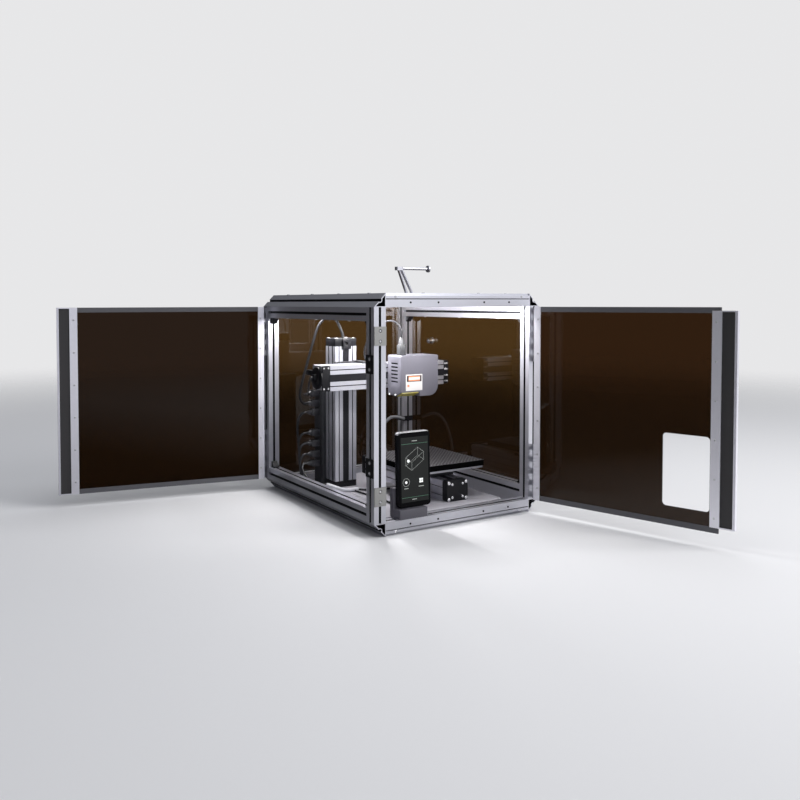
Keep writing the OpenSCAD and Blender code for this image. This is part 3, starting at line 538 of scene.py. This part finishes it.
def module_slots(node, across, depth, out):
    """Shade in a linear module's grooves: its axes by number, and out is the way its strip side looks."""
    low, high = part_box(node)
    middle = (low[across] + high[across]) / 2
    half = (high[across] - low[across]) / 2
    thick = high[depth] - low[depth]
    face = low[depth] if out < 0 else high[depth]
    flank_middle = (FLANK_GROOVE_DEPTH + SKIN) / 2
    strip_middle = (STRIP_GROOVE_DEPTH + SKIN) / 2
    grooves = []
    for side in (-1, 1):
        for share in FLANK_GROOVES:
            grooves.append((middle + side * (half - flank_middle), FLANK_GROOVE_DEPTH / 2 - SKIN,
                            face - out * thick * share, FLANK_GROOVE_HALF))
        grooves.append((middle + side * half * STRIP_GROOVE, STRIP_GROOVE_HALF,
                        face - out * strip_middle, strip_middle - SKIN))

    def slots(finish):
        total = 0.0
        for a, a_half, b, b_half in grooves:
            groove_low, groove_high = Vector(low), Vector(high)
            groove_low[across], groove_high[across] = a - a_half, a + a_half
            groove_low[depth], groove_high[depth] = b - b_half, b + b_half
            total = finish.math("MAXIMUM", finish.region(groove_low, groove_high), total)
        return total

    return slots


VENT_WIDTH = 0.028
VENT_DEPTH = 0.0031
# The rows of vents lie between these distances from the case's underside and from its top
VENTS_FROM_UNDERSIDE, VENTS_FROM_TOP = 0.030, 0.005


def toolhead_grey():
    """The toolhead's shell, with the vents of both flanks in shade."""
    finish = Finish("toolhead_grey", (0.135, 0.132, 0.158), 0.42)
    finish.marks(0.12, 0.12)
    low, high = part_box("toolhead_case")
    middle = (low.y + high.y) / 2
    reach = VENT_WIDTH / 2 + SKIN
    left, right = (
        finish.region((x_low, middle - reach, low.z + VENTS_FROM_UNDERSIDE),
                      (x_high, middle + reach, high.z - VENTS_FROM_TOP))
        for x_low, x_high in ((low.x + SKIN, low.x + VENT_DEPTH), (high.x - VENT_DEPTH, high.x - SKIN)))
    vents = finish.math("MAXIMUM", left, right)
    finish.tint(vents, (0.002, 0.002, 0.002))
    finish.fade("Specular IOR Level", 0.5, vents)
    finish.bump(finish.group(GRAIN, Scale=1500.0)["Height"], 0.2)
    return finish.done()


# The display's unlit border at its sides and its ends. In depth the mask goes past the leaning glass
DISPLAY_BORDER = Vector((0.0045, -0.01, 0.010))


def display_glass():
    """Near-black glass, paler over the lit display inside its border."""
    finish = Finish("screen_glass", (0.0035, 0.0035, 0.0042), 0.12)
    finish.shader.inputs["Specular IOR Level"].default_value = 0.04
    finish.marks(0.1, 0.06)
    low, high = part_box("touchscreen_glass")
    finish.tint(finish.region(low + DISPLAY_BORDER, high - DISPLAY_BORDER), (0.0265, 0.0280, 0.0270))
    return finish.done()


def screen_shell():
    """Black shell with a painted highlight along its upper edge: the faces that look upwards are painted
    pale and made shinier.
    """
    finish = Finish("screen_shell", (0.008, 0.008, 0.010), 0.24)
    finish.marks(0.1, 0.08)
    # Painted highlight: pale grey on the faces that look upwards, where the light from above falls
    edge = finish.math("GREATER_THAN", finish.split(finish.surface("True Normal"))["Z"], 0.35)
    finish.tint(edge, (0.42, 0.42, 0.44))
    finish.drive("Specular IOR Level", finish.math("ADD", finish.math("MULTIPLY", edge, 0.8), 0.1))
    return finish.done()


def strike_metal():
    """Bright strike plates on the front, and the same plates painted dark on the left side as painted
    shade.
    """
    finish = Finish("strike_plates", (0.34, 0.34, 0.33), 0.42, 0.6)
    finish.marks(0.2, 0.12)
    # Countersinks, bores and the plates' ends are in shade: they look along neither X nor Y
    facing = finish.split(vector_math(finish.tree, "ABSOLUTE", finish.surface("True Normal")))
    sunk = finish.math("LESS_THAN", finish.math("MAXIMUM", facing["X"], facing["Y"]), 0.96)
    finish.tint(sunk, BORE_SHADE)
    low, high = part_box("strike_plates")
    # Painted shade: the plates on the left side, where shade falls, are painted dark
    left = finish.region((low.x - SKIN, low.y - SKIN, low.z),
                         (LEFT_POST[0].x - SKIN / 2, high.y + SKIN, high.z))
    finish.tint(left, (0.022, 0.022, 0.025))
    return finish.done()


# The two screws of a strike plate, from one of its ends
STRIKE_SCREWS = (0.0088, 0.0312)
# The shaded rim of such a screw reaches from one radius to the other
RIM_INSIDE, RIM_OUTSIDE = 0.0023, 0.0045
# The small screws of the front and back edges, from the frame's top or bottom, and the room round them
EDGE_SCREW_DROP, EDGE_SCREW_ROOM = 0.020, 0.0035
# The edges' mask reaches this far out of their face, where the heads are, and this far into it
HEAD_ROOM, HEAD_SINK = 0.003, 0.001
SCREW_METAL = 0.7


def screw_finish():
    """Bright screw heads. Some differ: those in the edges, in the strike plates and under the rails."""
    finish = Finish("frame_screw_steel", (0.85, 0.85, 0.87), 0.25, SCREW_METAL)
    finish.marks(0.15, 0.1)
    # Blackened heads in the front and back edges
    small = finish.region((0, HALF.y - HEAD_SINK, HALF.z - EDGE_SCREW_DROP - EDGE_SCREW_ROOM),
                          (HALF.x, HALF.y + HEAD_ROOM, HALF.z - EDGE_SCREW_DROP + EDGE_SCREW_ROOM),
                          finish.folded())
    finish.tint(small, (0.02, 0.02, 0.022))
    # Rims in shade in the front strike plates' countersinks
    low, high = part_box("strike_plates")
    across = (LEFT_POST[0].x + LEFT_POST[1].x) / 2
    for z in [low.z + end for end in STRIKE_SCREWS] + [high.z - end for end in STRIKE_SCREWS]:
        place = (across, low.y, z)
        rim = finish.math("SUBTRACT", finish.near(place, RIM_OUTSIDE), finish.near(place, RIM_INSIDE))
        finish.tint(rim, BORE_SHADE)
    # Those that hang under the upper rails mirror less
    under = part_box("left_rails")[1].z - PROFILE
    hanging = finish.region((-HALF.x, -HALF.y, under - 2 * HEAD_ROOM), (HALF.x, HALF.y, under + SKIN))
    finish.fade("Metallic", SCREW_METAL, hanging)
    return finish.done()


# The pitch of the bed plate's holes, and the radii between which their rim fades, as shares of it
HOLE_PITCH = 0.010
HOLE_RIM = (0.28, 0.34)


def perforated():
    """Black bed plate with a square grid of small round holes painted on top as dark dots, which stand in
    for the shade inside them, and upright sides painted darker.
    """
    finish = Finish("perforated_black", (0.085, 0.082, 0.088), 0.42)
    finish.marks(0.18, 0.1)
    place = finish.split(finish.coord)
    squares = []
    for axis in ("X", "Y"):
        turn = finish.math("FRACT", finish.math("DIVIDE", place[axis], HOLE_PITCH))
        cell = finish.math("SUBTRACT", turn, 0.5)
        squares.append(finish.math("MULTIPLY", cell, cell))
    reach = finish.math("SQRT", finish.math("ADD", *squares))
    hole = map_range(finish.tree, reach, HOLE_RIM[1], HOLE_RIM[0])
    up = finish.split(finish.surface("Normal"))["Z"]
    top = finish.math("GREATER_THAN", up, 0.9)
    upright = finish.math("LESS_THAN", up, 0.4)
    # Painted shade in the holes, which aren't modelled, and the upright sides painted darker
    dark = finish.math("MAXIMUM", finish.math("MULTIPLY", hole, top), upright)
    finish.tint(dark, (0.003, 0.003, 0.003))
    finish.fade("Specular IOR Level", 0.4, dark)
    return finish.done()


def paint(material, *names):
    """Gives CAD nodes their finish."""
    for name in names:
        for slot in NODES[name].material_slots:
            slot.material = material
        if not NODES[name].material_slots:
            NODES[name].data.materials.append(material)


STEEL = drawn_metal("screw_steel", (0.62, 0.62, 0.64), 0.28, 2, 0.1)
SCREW_WHITE = drawn_metal("screw_white", (0.85, 0.85, 0.87), 0.25, 2, 0.05, 0.6)
SCREW_PALE = drawn_metal("screw_pale", (0.90, 0.90, 0.90), 0.25, 2, 0.05, 0.0)
DARK_METAL = drawn_metal("anodised_dark", (0.42, 0.42, 0.46), 0.36, 2)
DOOR_SILVER = drawn_metal("anodised_doors", (0.84, 0.83, 0.90), 0.34, 2, 0.12, 0.5)
TOP_AMBER = clear_sheet("amber_sheet", (0.030, 0.0125, 0.0040))
# The walls and the front door carry the painted glow towards their tops
WALL_AMBER = clear_sheet("amber_walls", (0.018, 0.0090, 0.0038), (0.085, 0.044, 0.0130))
FRONT_AMBER = clear_sheet("amber_front_door", (0.017, 0.0080, 0.0031), (0.036, 0.0155, 0.0056), 0.6)
SIDE_AMBER = clear_sheet("amber_left_door", (0.020, 0.0088, 0.0030), mirror=0.3)
BLACK = grained("moulded_black", (0.010, 0.010, 0.012), 0.36, shine=0.22)
STRIP_BLACK = grained("strip_black", (0.014, 0.014, 0.017), 0.3, 1500.0, 0.05, shine=0.2)
PLUG_BLACK = grained("plug_black", (0.030, 0.030, 0.034), 0.26, 1600.0, 0.08)
GREY = grained("moulded_grey", (0.045, 0.046, 0.050), 0.45, 1500.0, 0.25)
STAND_GREY = grained("stand_grey", (0.095, 0.092, 0.11), 0.5, 1500.0, 0.25)
CHARCOAL = grained("powder_charcoal", (0.030, 0.031, 0.035), 0.5, 1500.0, 0.3, shine=0.3)
GRIP = grained("grip_charcoal", (0.042, 0.040, 0.042), 0.6, 1500.0, 0.3, shine=0.3)
FLOOR_GREY = grained("floor_grey", (0.36, 0.36, 0.38), 0.5, 900.0, 0.2)
BASE_LIGHT = grained("base_light", (0.46, 0.45, 0.49), 0.42, 900.0, 0.15)
SEAL = grained("seal_grey", (0.09, 0.09, 0.10), 0.7, 1100.0, 0.4)
RUBBER = grained("rubber_black", (0.018, 0.018, 0.018), 0.75, 1000.0, 0.4)
SHIELD = grained("shield_olive", (0.42, 0.36, 0.06), 0.15, 3000.0, 0.02, 0.1)
CABLE = grained("cable_black", (0.024, 0.024, 0.027), 0.24, 1600.0, 0.08)
DULL_CABLE = grained("cable_dull", (0.016, 0.016, 0.018), 0.5, 1600.0, 0.1, shine=0.25)
SLEEVE = grained("sleeve_light", (0.62, 0.62, 0.66), 0.3, 1500.0, 0.1)
HOSE = grained("hose_grey", (0.17, 0.17, 0.18), 0.25, 1500.0, 0.1)
PLATE_WHITE = grained("plate_white", (0.62, 0.61, 0.60), 0.4, 2500.0, 0.08, 0.08)
PLATE_ORANGE = grained("plate_orange", (0.70, 0.27, 0.13), 0.4, 2500.0, 0.08, 0.1)
PLATE_FRAME = grained("plate_frame", (0.03, 0.03, 0.035), 0.35, 2500.0, 0.08, 0.1)
DISPLAY_LINE = glowing("display_line", (0.34, 0.36, 0.34), 0.55)
DISPLAY_WHITE = glowing("display_white", (0.80, 0.82, 0.80), 0.7)
DISPLAY_GREEN = glowing("display_green", (0.06, 0.16, 0.10), 0.4)

paint(anodised("anodised_posts", 2, post_slots),
      "front_left_post", "front_right_post", "back_left_post", "back_right_post")
paint(anodised("anodised_rails", 1, rail_slots), "left_rails", "right_rails")
paint(anodised("anodised_cross_edges", 0, cross_edge_slots), "front_edges", "back_edges")
paint(anodised("anodised_side_edges", 1, side_edge_slots), "top_side_edges", "bottom_side_edges")
paint(anodised("anodised_z_module", 2, module_slots("z_module", 0, 1, -1)), "z_module")
paint(anodised("anodised_y_module", 1, module_slots("y_module", 0, 2, 1)), "y_module")
paint(anodised("anodised_x_module", 0, module_slots("x_module", 2, 1, -1)), "x_module")
paint(anodised("anodised_along_x", 0), "spool_holder")
paint(DOOR_SILVER, "left_door_hinge_strip", "left_door_handle", "front_door_hinge_strip",
      "front_door_handle")
paint(DARK_METAL, "bed_platform", "hinge_frame_leaves", "left_door_hinges", "front_door_hinges")
paint(STEEL, "panel_fitting", "hinge_pins", "left_door_screws", "front_door_screws")
paint(strike_metal(), "strike_plates")
paint(screw_finish(), "frame_screws")
paint(TOP_AMBER, "top_panel")
paint(WALL_AMBER, "back_panel", "right_panel")
paint(FRONT_AMBER, "front_door_panel")
paint(SIDE_AMBER, "left_door_panel")
paint(FLOOR_GREY, "floor_panel")
paint(BASE_LIGHT, "base_plate")
paint(RUBBER, "base_feet")
paint(SEAL, "left_door_seals", "front_door_seals")
paint(GRIP, "left_door_grip", "front_door_grip")
paint(BLACK, "corner_brackets", "module_end_caps", "x_end_caps")
paint(STRIP_BLACK, "cover_strips", "x_cover_strip")
paint(CHARCOAL, "controller", "z_carriage", "x_carriage", "y_carriage")
paint(PLUG_BLACK, "cable_plugs")
paint(CABLE, "fixed_cables", "x_motor_cable", "toolhead_cable")
paint(toolhead_grey(), "toolhead_case")
paint(GREY, "toolhead_plug")
paint(SHIELD, "toolhead_shield")
paint(screen_shell(), "touchscreen_body")
paint(display_glass(), "touchscreen_glass")
paint(STAND_GREY, "touchscreen_stand")
paint(perforated(), "bed_plate")


# ---- modelling helpers ----

CORNER = Vector((LEFT_POST[0].x, LEFT_POST[0].y, 0))


def from_corner(x, y, z):
    """A place in millimetres from the enclosure's front left lower corner."""
    return CORNER + Vector((x, y, z)) / 1000


def deselect():
    bpy.ops.object.select_all(action="DESELECT")


def pick(piece):
    deselect()
    piece.select_set(True)
    bpy.context.view_layer.objects.active = piece


def settle():
    """Puts the selected pieces' place, turn and size into their meshes."""
    bpy.ops.object.transform_apply(location=True, rotation=True, scale=True)


def smooth(degrees):
    """Smooths the selected piece's shading, apart from edges that are sharper than this."""
    bpy.ops.object.shade_smooth_by_angle(angle=math.radians(degrees))


def add_block(size, place=(0, 0, 0)):
    """A block to start a piece from, at its size and place."""
    deselect()
    bpy.ops.mesh.primitive_cube_add(size=1, location=place)
    piece = bpy.context.object
    piece.scale = size
    settle()
    return piece


def add_disc(radius, depth, corners):
    """A disc to start a piece from, which looks along -Y."""
    deselect()
    bpy.ops.mesh.primitive_cylinder_add(vertices=corners, radius=radius, depth=depth,
                                        rotation=(math.pi / 2, 0, 0))
    settle()
    return bpy.context.object


# Plates, bars and heads are rounded by this share of their thickness or radius
THIN_ROUNDING = 0.3


def round_off(piece, width, segments=1, angle=40):
    """Bevels the edges that are sharper than the angle."""
    edge = piece.modifiers.new("edge", "BEVEL")
    edge.width = width
    edge.segments = segments
    edge.limit_method = "ANGLE"
    edge.angle_limit = math.radians(angle)
    pick(piece)
    bpy.ops.object.modifier_apply(modifier="edge")
    return piece


def join(pieces):
    deselect()
    for piece in pieces:
        piece.select_set(True)
    bpy.context.view_layer.objects.active = pieces[0]
    bpy.ops.object.join()
    return bpy.context.object


def finish_piece(piece, name, material, body):
    """Names the piece, puts its place into its mesh, gives it its finish and lets it ride."""
    pick(piece)
    settle()
    piece.name = name
    piece.data.materials.clear()
    piece.data.materials.append(material)
    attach(piece, body)


# ---- rounded copies of CAD pieces ----

# Edges sharper than this, in degrees, are rounded
SOFT_ANGLE = 32
# Node, width of its rounding, body and material slot
ROUNDED = (
    ("toolhead_case", 0.0014, "toolhead", "grey_plastic"),
    ("toolhead_plug", 0.0012, "toolhead", "grey_plastic"),
    ("touchscreen_body", 0.0018, "frame", "black_plastic"),
    ("touchscreen_stand", 0.0008, "frame", "charcoal_metal"),
    ("bed_plate", 0.0012, "bed", "charcoal_metal"),
    ("module_end_caps", 0.0008, "frame", "black_plastic"),
    ("x_end_caps", 0.0008, "x_axis", "black_plastic"),
    ("cable_plugs", 0.0010, "frame", "black_plastic"),
    ("controller", 0.0010, "frame", "black_plastic"))


def softened(node, width, body, slot):
    """A copy of a CAD piece with its edges rounded over, which stands for it."""
    piece = NODES[node].copy()
    piece.data = NODES[node].data.copy()
    bpy.context.scene.collection.objects.link(piece)
    piece.parent = None
    piece.matrix_world = Matrix.Identity(4)
    pick(piece)
    bpy.ops.object.mode_set(mode="EDIT")
    bpy.ops.mesh.select_all(action="SELECT")
    bpy.ops.mesh.remove_doubles(threshold=0.00001)
    bpy.ops.mesh.dissolve_limited(angle_limit=math.radians(1))
    bpy.ops.object.mode_set(mode="OBJECT")
    round_off(piece, width, 2, SOFT_ANGLE)
    smooth(40)
    piece.name = node + "_rounded"
    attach(piece, body)
    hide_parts(node)


for facts in ROUNDED:
    softened(*facts)


# ---- cables ----

CABLE_R = 0.0024
LOOP_R = 0.003
COLUMN_R = 0.0035
BED_CABLE_R = 0.0026
HOSE_R = 0.005
# Radius of the hoses' ribs, and their pitch as a multiple of it
SLEEVE_RIB, HOSE_RIB = 0.0012, 0.0014
RIB_PITCH = 1.9
# Places that each cable passes through, in millimetres from the enclosure's front left lower corner
COLUMN_ROUTE = [
    (124, 336, 409.3), (123.5, 337, 420), (120, 343, 436), (115, 350, 452), (106, 362, 464),
    (94, 376, 460), (80, 388, 436), (66, 396, 385), (52, 402, 330), (40, 405, 285), (36.5, 405, 263),
    (38, 404, 250), (45, 402, 241.5), (55.7, 402, 241)]
LOOP_ROUTES = [
    [(55.7, 402, 218), (47, 403, 217), (40, 408, 211), (38, 417, 198), (40, 426, 178), (44, 431, 150),
     (48, 433, 110), (52, 434, 70), (58, 434, 34)],
    [(55.7, 402, 164), (47, 402, 164), (40, 406, 158), (38, 413, 146), (41, 421, 128), (46, 426, 105),
     (50, 427, 70), (57, 427, 34)],
    [(55.7, 402, 137), (47, 402, 137), (39, 404, 130), (37, 409, 116), (40, 416, 98), (45, 420, 75),
     (55, 420, 34)],
    [(55.7, 402, 109), (47, 402, 109), (39, 403, 100), (37, 407, 84), (42, 412, 60), (52, 413, 34)],
    [(55.7, 402, 85), (46, 402, 85), (39, 398, 76), (40, 389, 62), (48, 378, 48), (62, 366, 39),
     (76, 358, 36), (87.5, 353, 35.4)]]
SLEEVE_ROUTE = [
    (88, 352.4, 35.4), (89, 338, 35.4), (89.5, 322, 35.4), (90, 306, 35.4), (92, 292, 35.4),
    (97, 283, 35.4), (107, 278, 35.4), (119, 276, 35.4), (130, 272, 35.4)]
BED_ROUTE = [
    (130.6, 271.7, 35.2), (142, 265, 34), (160, 257, 33), (182, 251, 33), (206, 248, 33),
    (228, 247, 33), (250.7, 247, 33)]
SCREEN_ROUTE = [
    (118, 40.3, 60), (118, 48, 59), (119, 60, 50), (120, 78, 37), (124, 100, 32.8), (128, 128, 32.7),
    (130, 160, 32.7), (128, 196, 32.7), (124, 228, 32.8), (121, 250, 33), (120, 270.4, 33.2)]
HOSE_ROUTE = [
    (374, 444, 33.6), (362, 457, 44), (350, 476, 74), (348, 493, 110), (359, 503, 145), (384, 507, 165),
    (410, 508, 166), (435.6, 508, 159)]
X_MOTOR_ROUTE = [
    (12.7, 292, 319), (8, 292, 318), (5.5, 295, 310), (7, 302, 296), (14, 318, 280), (26, 345, 269),
    (34, 372, 267), (40, 390, 266), (47, 400, 266), (55.7, 402, 266)]
TOOLHEAD_ROUTE = [
    (225, 222, 413.3), (225, 222, 428), (219, 225, 444), (206, 231, 454), (188, 244, 452),
    (172, 258, 436), (161, 270, 412), (156, 280, 388), (158, 286, 368), (163, 287, 353.4)]


def smooth_route(points, steps=5):
    """Places along a smooth curve through all the points."""
    places = [from_corner(*point) for point in points]
    last = len(places) - 1
    route = []
    for i in range(last):
        before, a, b, after = (places[max(i - 1, 0)], places[i], places[i + 1], places[min(i + 2, last)])
        for step in range(steps):
            t = step / steps
            route.append(0.5 * (2 * a + (b - before) * t + (2 * before - 5 * a + 4 * b - after) * t ** 2
                                + (3 * a - before - 3 * b + after) * t ** 3))
    return route + [places[last]]


def route_length(route):
    return sum((b - a).length for a, b in zip(route, route[1:]))


def cable_curve(name, route, radius):
    data = bpy.data.curves.new(name, "CURVE")
    data.dimensions = "3D"
    line = data.splines.new("POLY")
    line.points.add(len(route) - 1)
    for point, place in zip(line.points, route):
        point.co = (*place, 1)
    data.bevel_depth = radius
    data.bevel_resolution = 3
    data.use_fill_caps = radius > 0
    cable = bpy.data.objects.new(name, data)
    bpy.context.scene.collection.objects.link(cable)
    return cable


def cable_tube(name, points, radius, material):
    """A cable as a mesh tube, with the line that it follows."""
    route = smooth_route(points)
    pick(cable_curve(name, route, radius))
    bpy.ops.object.convert(target="MESH")
    cable = bpy.context.object
    smooth(60)
    cable.data.materials.clear()
    cable.data.materials.append(material)
    return cable, route


def fixed_cable(name, points, radius, material):
    """A cable that stays with the frame."""
    cable, route = cable_tube(name, points, radius, material)
    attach(cable, "frame")
    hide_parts("fixed_cables")


def bending_lead(name, points, node):
    """A cable between two bodies, as a still tube in place of the CAD one."""
    cable, route = cable_tube(name, points, CABLE_R, CABLE)
    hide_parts(node)
    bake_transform(cable)


def ribbed_hose(name, points, rib, material):
    """A corrugated hose: one ring repeated along the line."""
    route = smooth_route(points)
    guide = cable_curve(name + "_line", route, 0)
    deselect()
    bpy.ops.mesh.primitive_torus_add(major_segments=20, minor_segments=8, major_radius=HOSE_R - rib,
                                     minor_radius=rib, rotation=(0, math.pi / 2, 0))
    hose = bpy.context.object
    settle()
    rings = hose.modifiers.new("rings", "ARRAY")
    rings.fit_type = "FIT_LENGTH"
    rings.fit_length = route_length(route)
    rings.use_relative_offset = False
    rings.use_constant_offset = True
    rings.constant_offset_displace = (rib * RIB_PITCH, 0, 0)
    bpy.ops.object.modifier_apply(modifier="rings")
    bend = hose.modifiers.new("bend", "CURVE")
    bend.object = guide
    bend.deform_axis = "POS_X"
    bpy.ops.object.modifier_apply(modifier="bend")
    bpy.data.objects.remove(guide)
    smooth(60)
    hose.name = name
    hose.data.materials.append(material)
    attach(hose, "frame")
    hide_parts("fixed_cables")


fixed_cable("column_cable", COLUMN_ROUTE, COLUMN_R, DULL_CABLE)
for number, points in enumerate(LOOP_ROUTES, 1):
    fixed_cable("controller_cable_%d" % number, points, LOOP_R, CABLE)
fixed_cable("bed_cable", BED_ROUTE, BED_CABLE_R, CABLE)
fixed_cable("screen_cable", SCREEN_ROUTE, CABLE_R, CABLE)
ribbed_hose("ribbed_sleeve", SLEEVE_ROUTE, SLEEVE_RIB, SLEEVE)
ribbed_hose("service_hose", HOSE_ROUTE, HOSE_RIB, HOSE)
bending_lead("x_motor_lead", X_MOTOR_ROUTE, "x_motor_cable")
bending_lead("toolhead_lead", TOOLHEAD_ROUTE, "toolhead_cable")


# ---- toolhead plate ----

PLATE_SIZE = Vector((0.050, 0.0006, 0.040))
# The plate's middle, from the case's left side and from its underside
PLATE_ACROSS, PLATE_UP = 0.0385, 0.0345
# What lies on the plate: name, size, place across and up from the plate's middle, and finish
PLATE_PARTS = (
    ("toolhead_plate_frame", (0.0440, 0.0002, 0.0150), 0, 0.0098, PLATE_FRAME),
    ("toolhead_plate_band", (0.0345, 0.0004, 0.0120), 0, 0.0098, PLATE_ORANGE),
    ("toolhead_plate_middle", (0.0330, 0.0006, 0.0062), 0, 0.0098, PLATE_WHITE),
    ("toolhead_plate_spot", (0.0055, 0.0002, 0.0055), -0.0175, -0.0075, PLATE_ORANGE))


def add_toolhead_plate():
    """A bare plate with a plain band of colour on the toolhead's front."""
    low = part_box("toolhead_case")[0]
    middle = Vector((low.x + PLATE_ACROSS, low.y - PLATE_SIZE.y / 2, low.z + PLATE_UP))
    plate = round_off(add_block(PLATE_SIZE, middle), PLATE_SIZE.y / 2)
    finish_piece(plate, "toolhead_plate", PLATE_WHITE, "toolhead")
    face = low.y - PLATE_SIZE.y
    for name, size, across, up, material in PLATE_PARTS:
        thick = size[1]
        part = add_block(size, (middle.x + across, face - thick / 2, middle.z + up))
        finish_piece(round_off(part, thick * THIN_ROUNDING), name, material, "toolhead")


add_toolhead_plate()


# ---- touchscreen display ----

GLASS_THICK = 0.0012
# Thickness of what lies on the glass, and how far its middle stands off it
DISPLAY_LIFT = 0.0002
# The drawn box's size and turn, and the thickness of its lines
BOX_SIZE = (0.023, 0.0445, 0.024)
BOX_TURN = (math.radians(43), 0, math.radians(-46))
BOX_LINE = 0.0006
SPOT_R = 0.0034
RING_R, RING_LINE, RING_MIDDLE_R = 0.0086, 0.0003, 0.0030
TILE, TILE_SPREAD = 0.0042, 0.0026
# Bars in place of words: name, place across as a share of the width, height up the glass, and length
BARS = (
    ("display_title", 0.50, 0.1435, 0.014),
    ("display_note_left", 0.21, 0.0405, 0.011),
    ("display_note_right", 0.70, 0.0425, 0.014),
    ("display_foot", 0.47, 0.0155, 0.012))
BAR_HEIGHT = 0.0014
# Thin rules across the glass: name and height up it, and their length as a share of its width
RULES = (("display_rule_top", 0.1375), ("display_rule_foot", 0.0205))
RULE_HEIGHT = 0.0007
RULE_LENGTH = 0.86


def on_display(piece, across, up, name, material):
    """Lays a flat piece, drawn in the XZ plane about the origin, on the leaning glass."""
    low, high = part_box("touchscreen_glass")
    lean = math.atan2(high.y - low.y - GLASS_THICK, high.z - low.z)
    along = Vector((0, math.sin(lean), math.cos(lean)))
    out = Vector((0, -math.cos(lean), math.sin(lean)))
    piece.rotation_euler = (-lean, 0, 0)
    piece.location = low + Vector(((high.x - low.x) * across, 0, 0)) + along * up + out * DISPLAY_LIFT
    finish_piece(piece, name, material, "frame")


def display_bar(width, height):
    return round_off(add_block((width, DISPLAY_LIFT, height)), DISPLAY_LIFT * THIN_ROUNDING)


def display_dot(radius, corners):
    return round_off(add_disc(radius, DISPLAY_LIFT, corners), DISPLAY_LIFT * THIN_ROUNDING)


def flatten(piece):
    """Presses a drawing flat onto the XZ plane."""
    pick(piece)
    settle()
    piece.dimensions = (piece.dimensions.x, DISPLAY_LIFT, piece.dimensions.z)
    settle()
    return piece


def drawn_box():
    """A long box drawn in lines: its edges kept by a wireframe, turned, then pressed flat."""
    box = add_block(BOX_SIZE)
    lines = box.modifiers.new("lines", "WIREFRAME")
    lines.thickness = BOX_LINE
    pick(box)
    bpy.ops.object.modifier_apply(modifier="lines")
    box.rotation_mode = "ZYX"
    box.rotation_euler = BOX_TURN
    return flatten(box)


def drawn_ring(radius, line):
    deselect()
    bpy.ops.mesh.primitive_torus_add(major_segments=32, minor_segments=6, major_radius=radius,
                                     minor_radius=line, rotation=(math.pi / 2, 0, 0))
    return flatten(bpy.context.object)


def four_tiles():
    """Two rows of two square tiles, as one piece."""
    tiles = []
    for across in (-TILE_SPREAD, TILE_SPREAD):
        for up in (-TILE_SPREAD, TILE_SPREAD):
            tile = display_bar(TILE, TILE)
            tile.location = (across, 0, up)
            tiles.append(tile)
    return flatten(join(tiles))


def add_display():
    """A plain drawing of a box above a ring and four tiles, with bars in place of words."""
    on_display(drawn_box(), 0.50, 0.104, "display_drawing", DISPLAY_LINE)
    on_display(display_dot(SPOT_R, 24), 0.29, 0.1003, "display_spot", DISPLAY_WHITE)
    on_display(drawn_ring(RING_R, RING_LINE), 0.21, 0.054, "display_ring", DISPLAY_LINE)
    on_display(display_dot(RING_MIDDLE_R, 16), 0.21, 0.054, "display_ring_middle", DISPLAY_WHITE)
    on_display(four_tiles(), 0.70, 0.055, "display_tiles", DISPLAY_WHITE)
    for name, across, up, length in BARS:
        on_display(display_bar(length, BAR_HEIGHT), across, up, name, DISPLAY_LINE)
    low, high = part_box("touchscreen_glass")
    for name, up in RULES:
        rule = display_bar((high.x - low.x) * RULE_LENGTH, RULE_HEIGHT)
        on_display(rule, 0.5, up, name, DISPLAY_GREEN)


add_display()


# ---- screws on the X module's ends and on the toolhead ----

HEAD_DEPTH = 0.0012
X_SCREW_R = 0.0023
# Columns of screws, to the right of the module's left end or of its right end, where the end cap is,
# and rows from the module's lower and upper faces
MOTOR_END_SCREWS = ((0.004, 0.0165), (0.006,))
CAP_SCREWS = ((0.005, 0.011), (0.008, 0.023))
TOOLHEAD_SCREW_R = 0.0024
# The toolhead's screws lie this far back from its front, and this far up from its underside
TOOLHEAD_SCREWS_BACK = (0.0255, 0.0505)
TOOLHEAD_SCREWS_UP = 0.0034


def screw_head(radius):
    """A button head with its front rounded over, which looks along -Y."""
    head = add_disc(radius, HEAD_DEPTH, 18)
    bpy.ops.object.mode_set(mode="EDIT")
    mesh = bmesh.from_edit_mesh(head.data)
    bpy.ops.mesh.select_all(action="DESELECT")
    for face in mesh.faces:
        face.select = face.normal.y < -0.9
    bmesh.update_edit_mesh(head.data)
    bpy.ops.mesh.bevel(offset=radius * THIN_ROUNDING, segments=2, affect="EDGES")
    bpy.ops.object.mode_set(mode="OBJECT")
    return head


def add_x_screws():
    low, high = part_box("x_module")
    heads = []
    for end, (columns, rows) in ((low.x, MOTOR_END_SCREWS), (high.x, CAP_SCREWS)):
        heights = [low.z + row for row in rows] + [high.z - row for row in reversed(rows)]
        for column in columns:
            for z in heights:
                head = screw_head(X_SCREW_R)
                head.location = (end + column, low.y - HEAD_DEPTH / 2, z)
                heads.append(head)
    finish_piece(join(heads), "x_end_screws", SCREW_WHITE, "x_axis")


def add_toolhead_screws():
    """Two heads low on the toolhead's left flank, looking along -X."""
    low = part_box("toolhead_case")[0]
    heads = []
    for back in TOOLHEAD_SCREWS_BACK:
        head = screw_head(TOOLHEAD_SCREW_R)
        head.rotation_euler = (0, 0, -math.pi / 2)
        head.location = (low.x - HEAD_DEPTH / 2, low.y + back, low.z + TOOLHEAD_SCREWS_UP)
        heads.append(head)
    finish_piece(join(heads), "toolhead_screws", SCREW_PALE, "toolhead")


add_x_screws()
add_toolhead_screws()
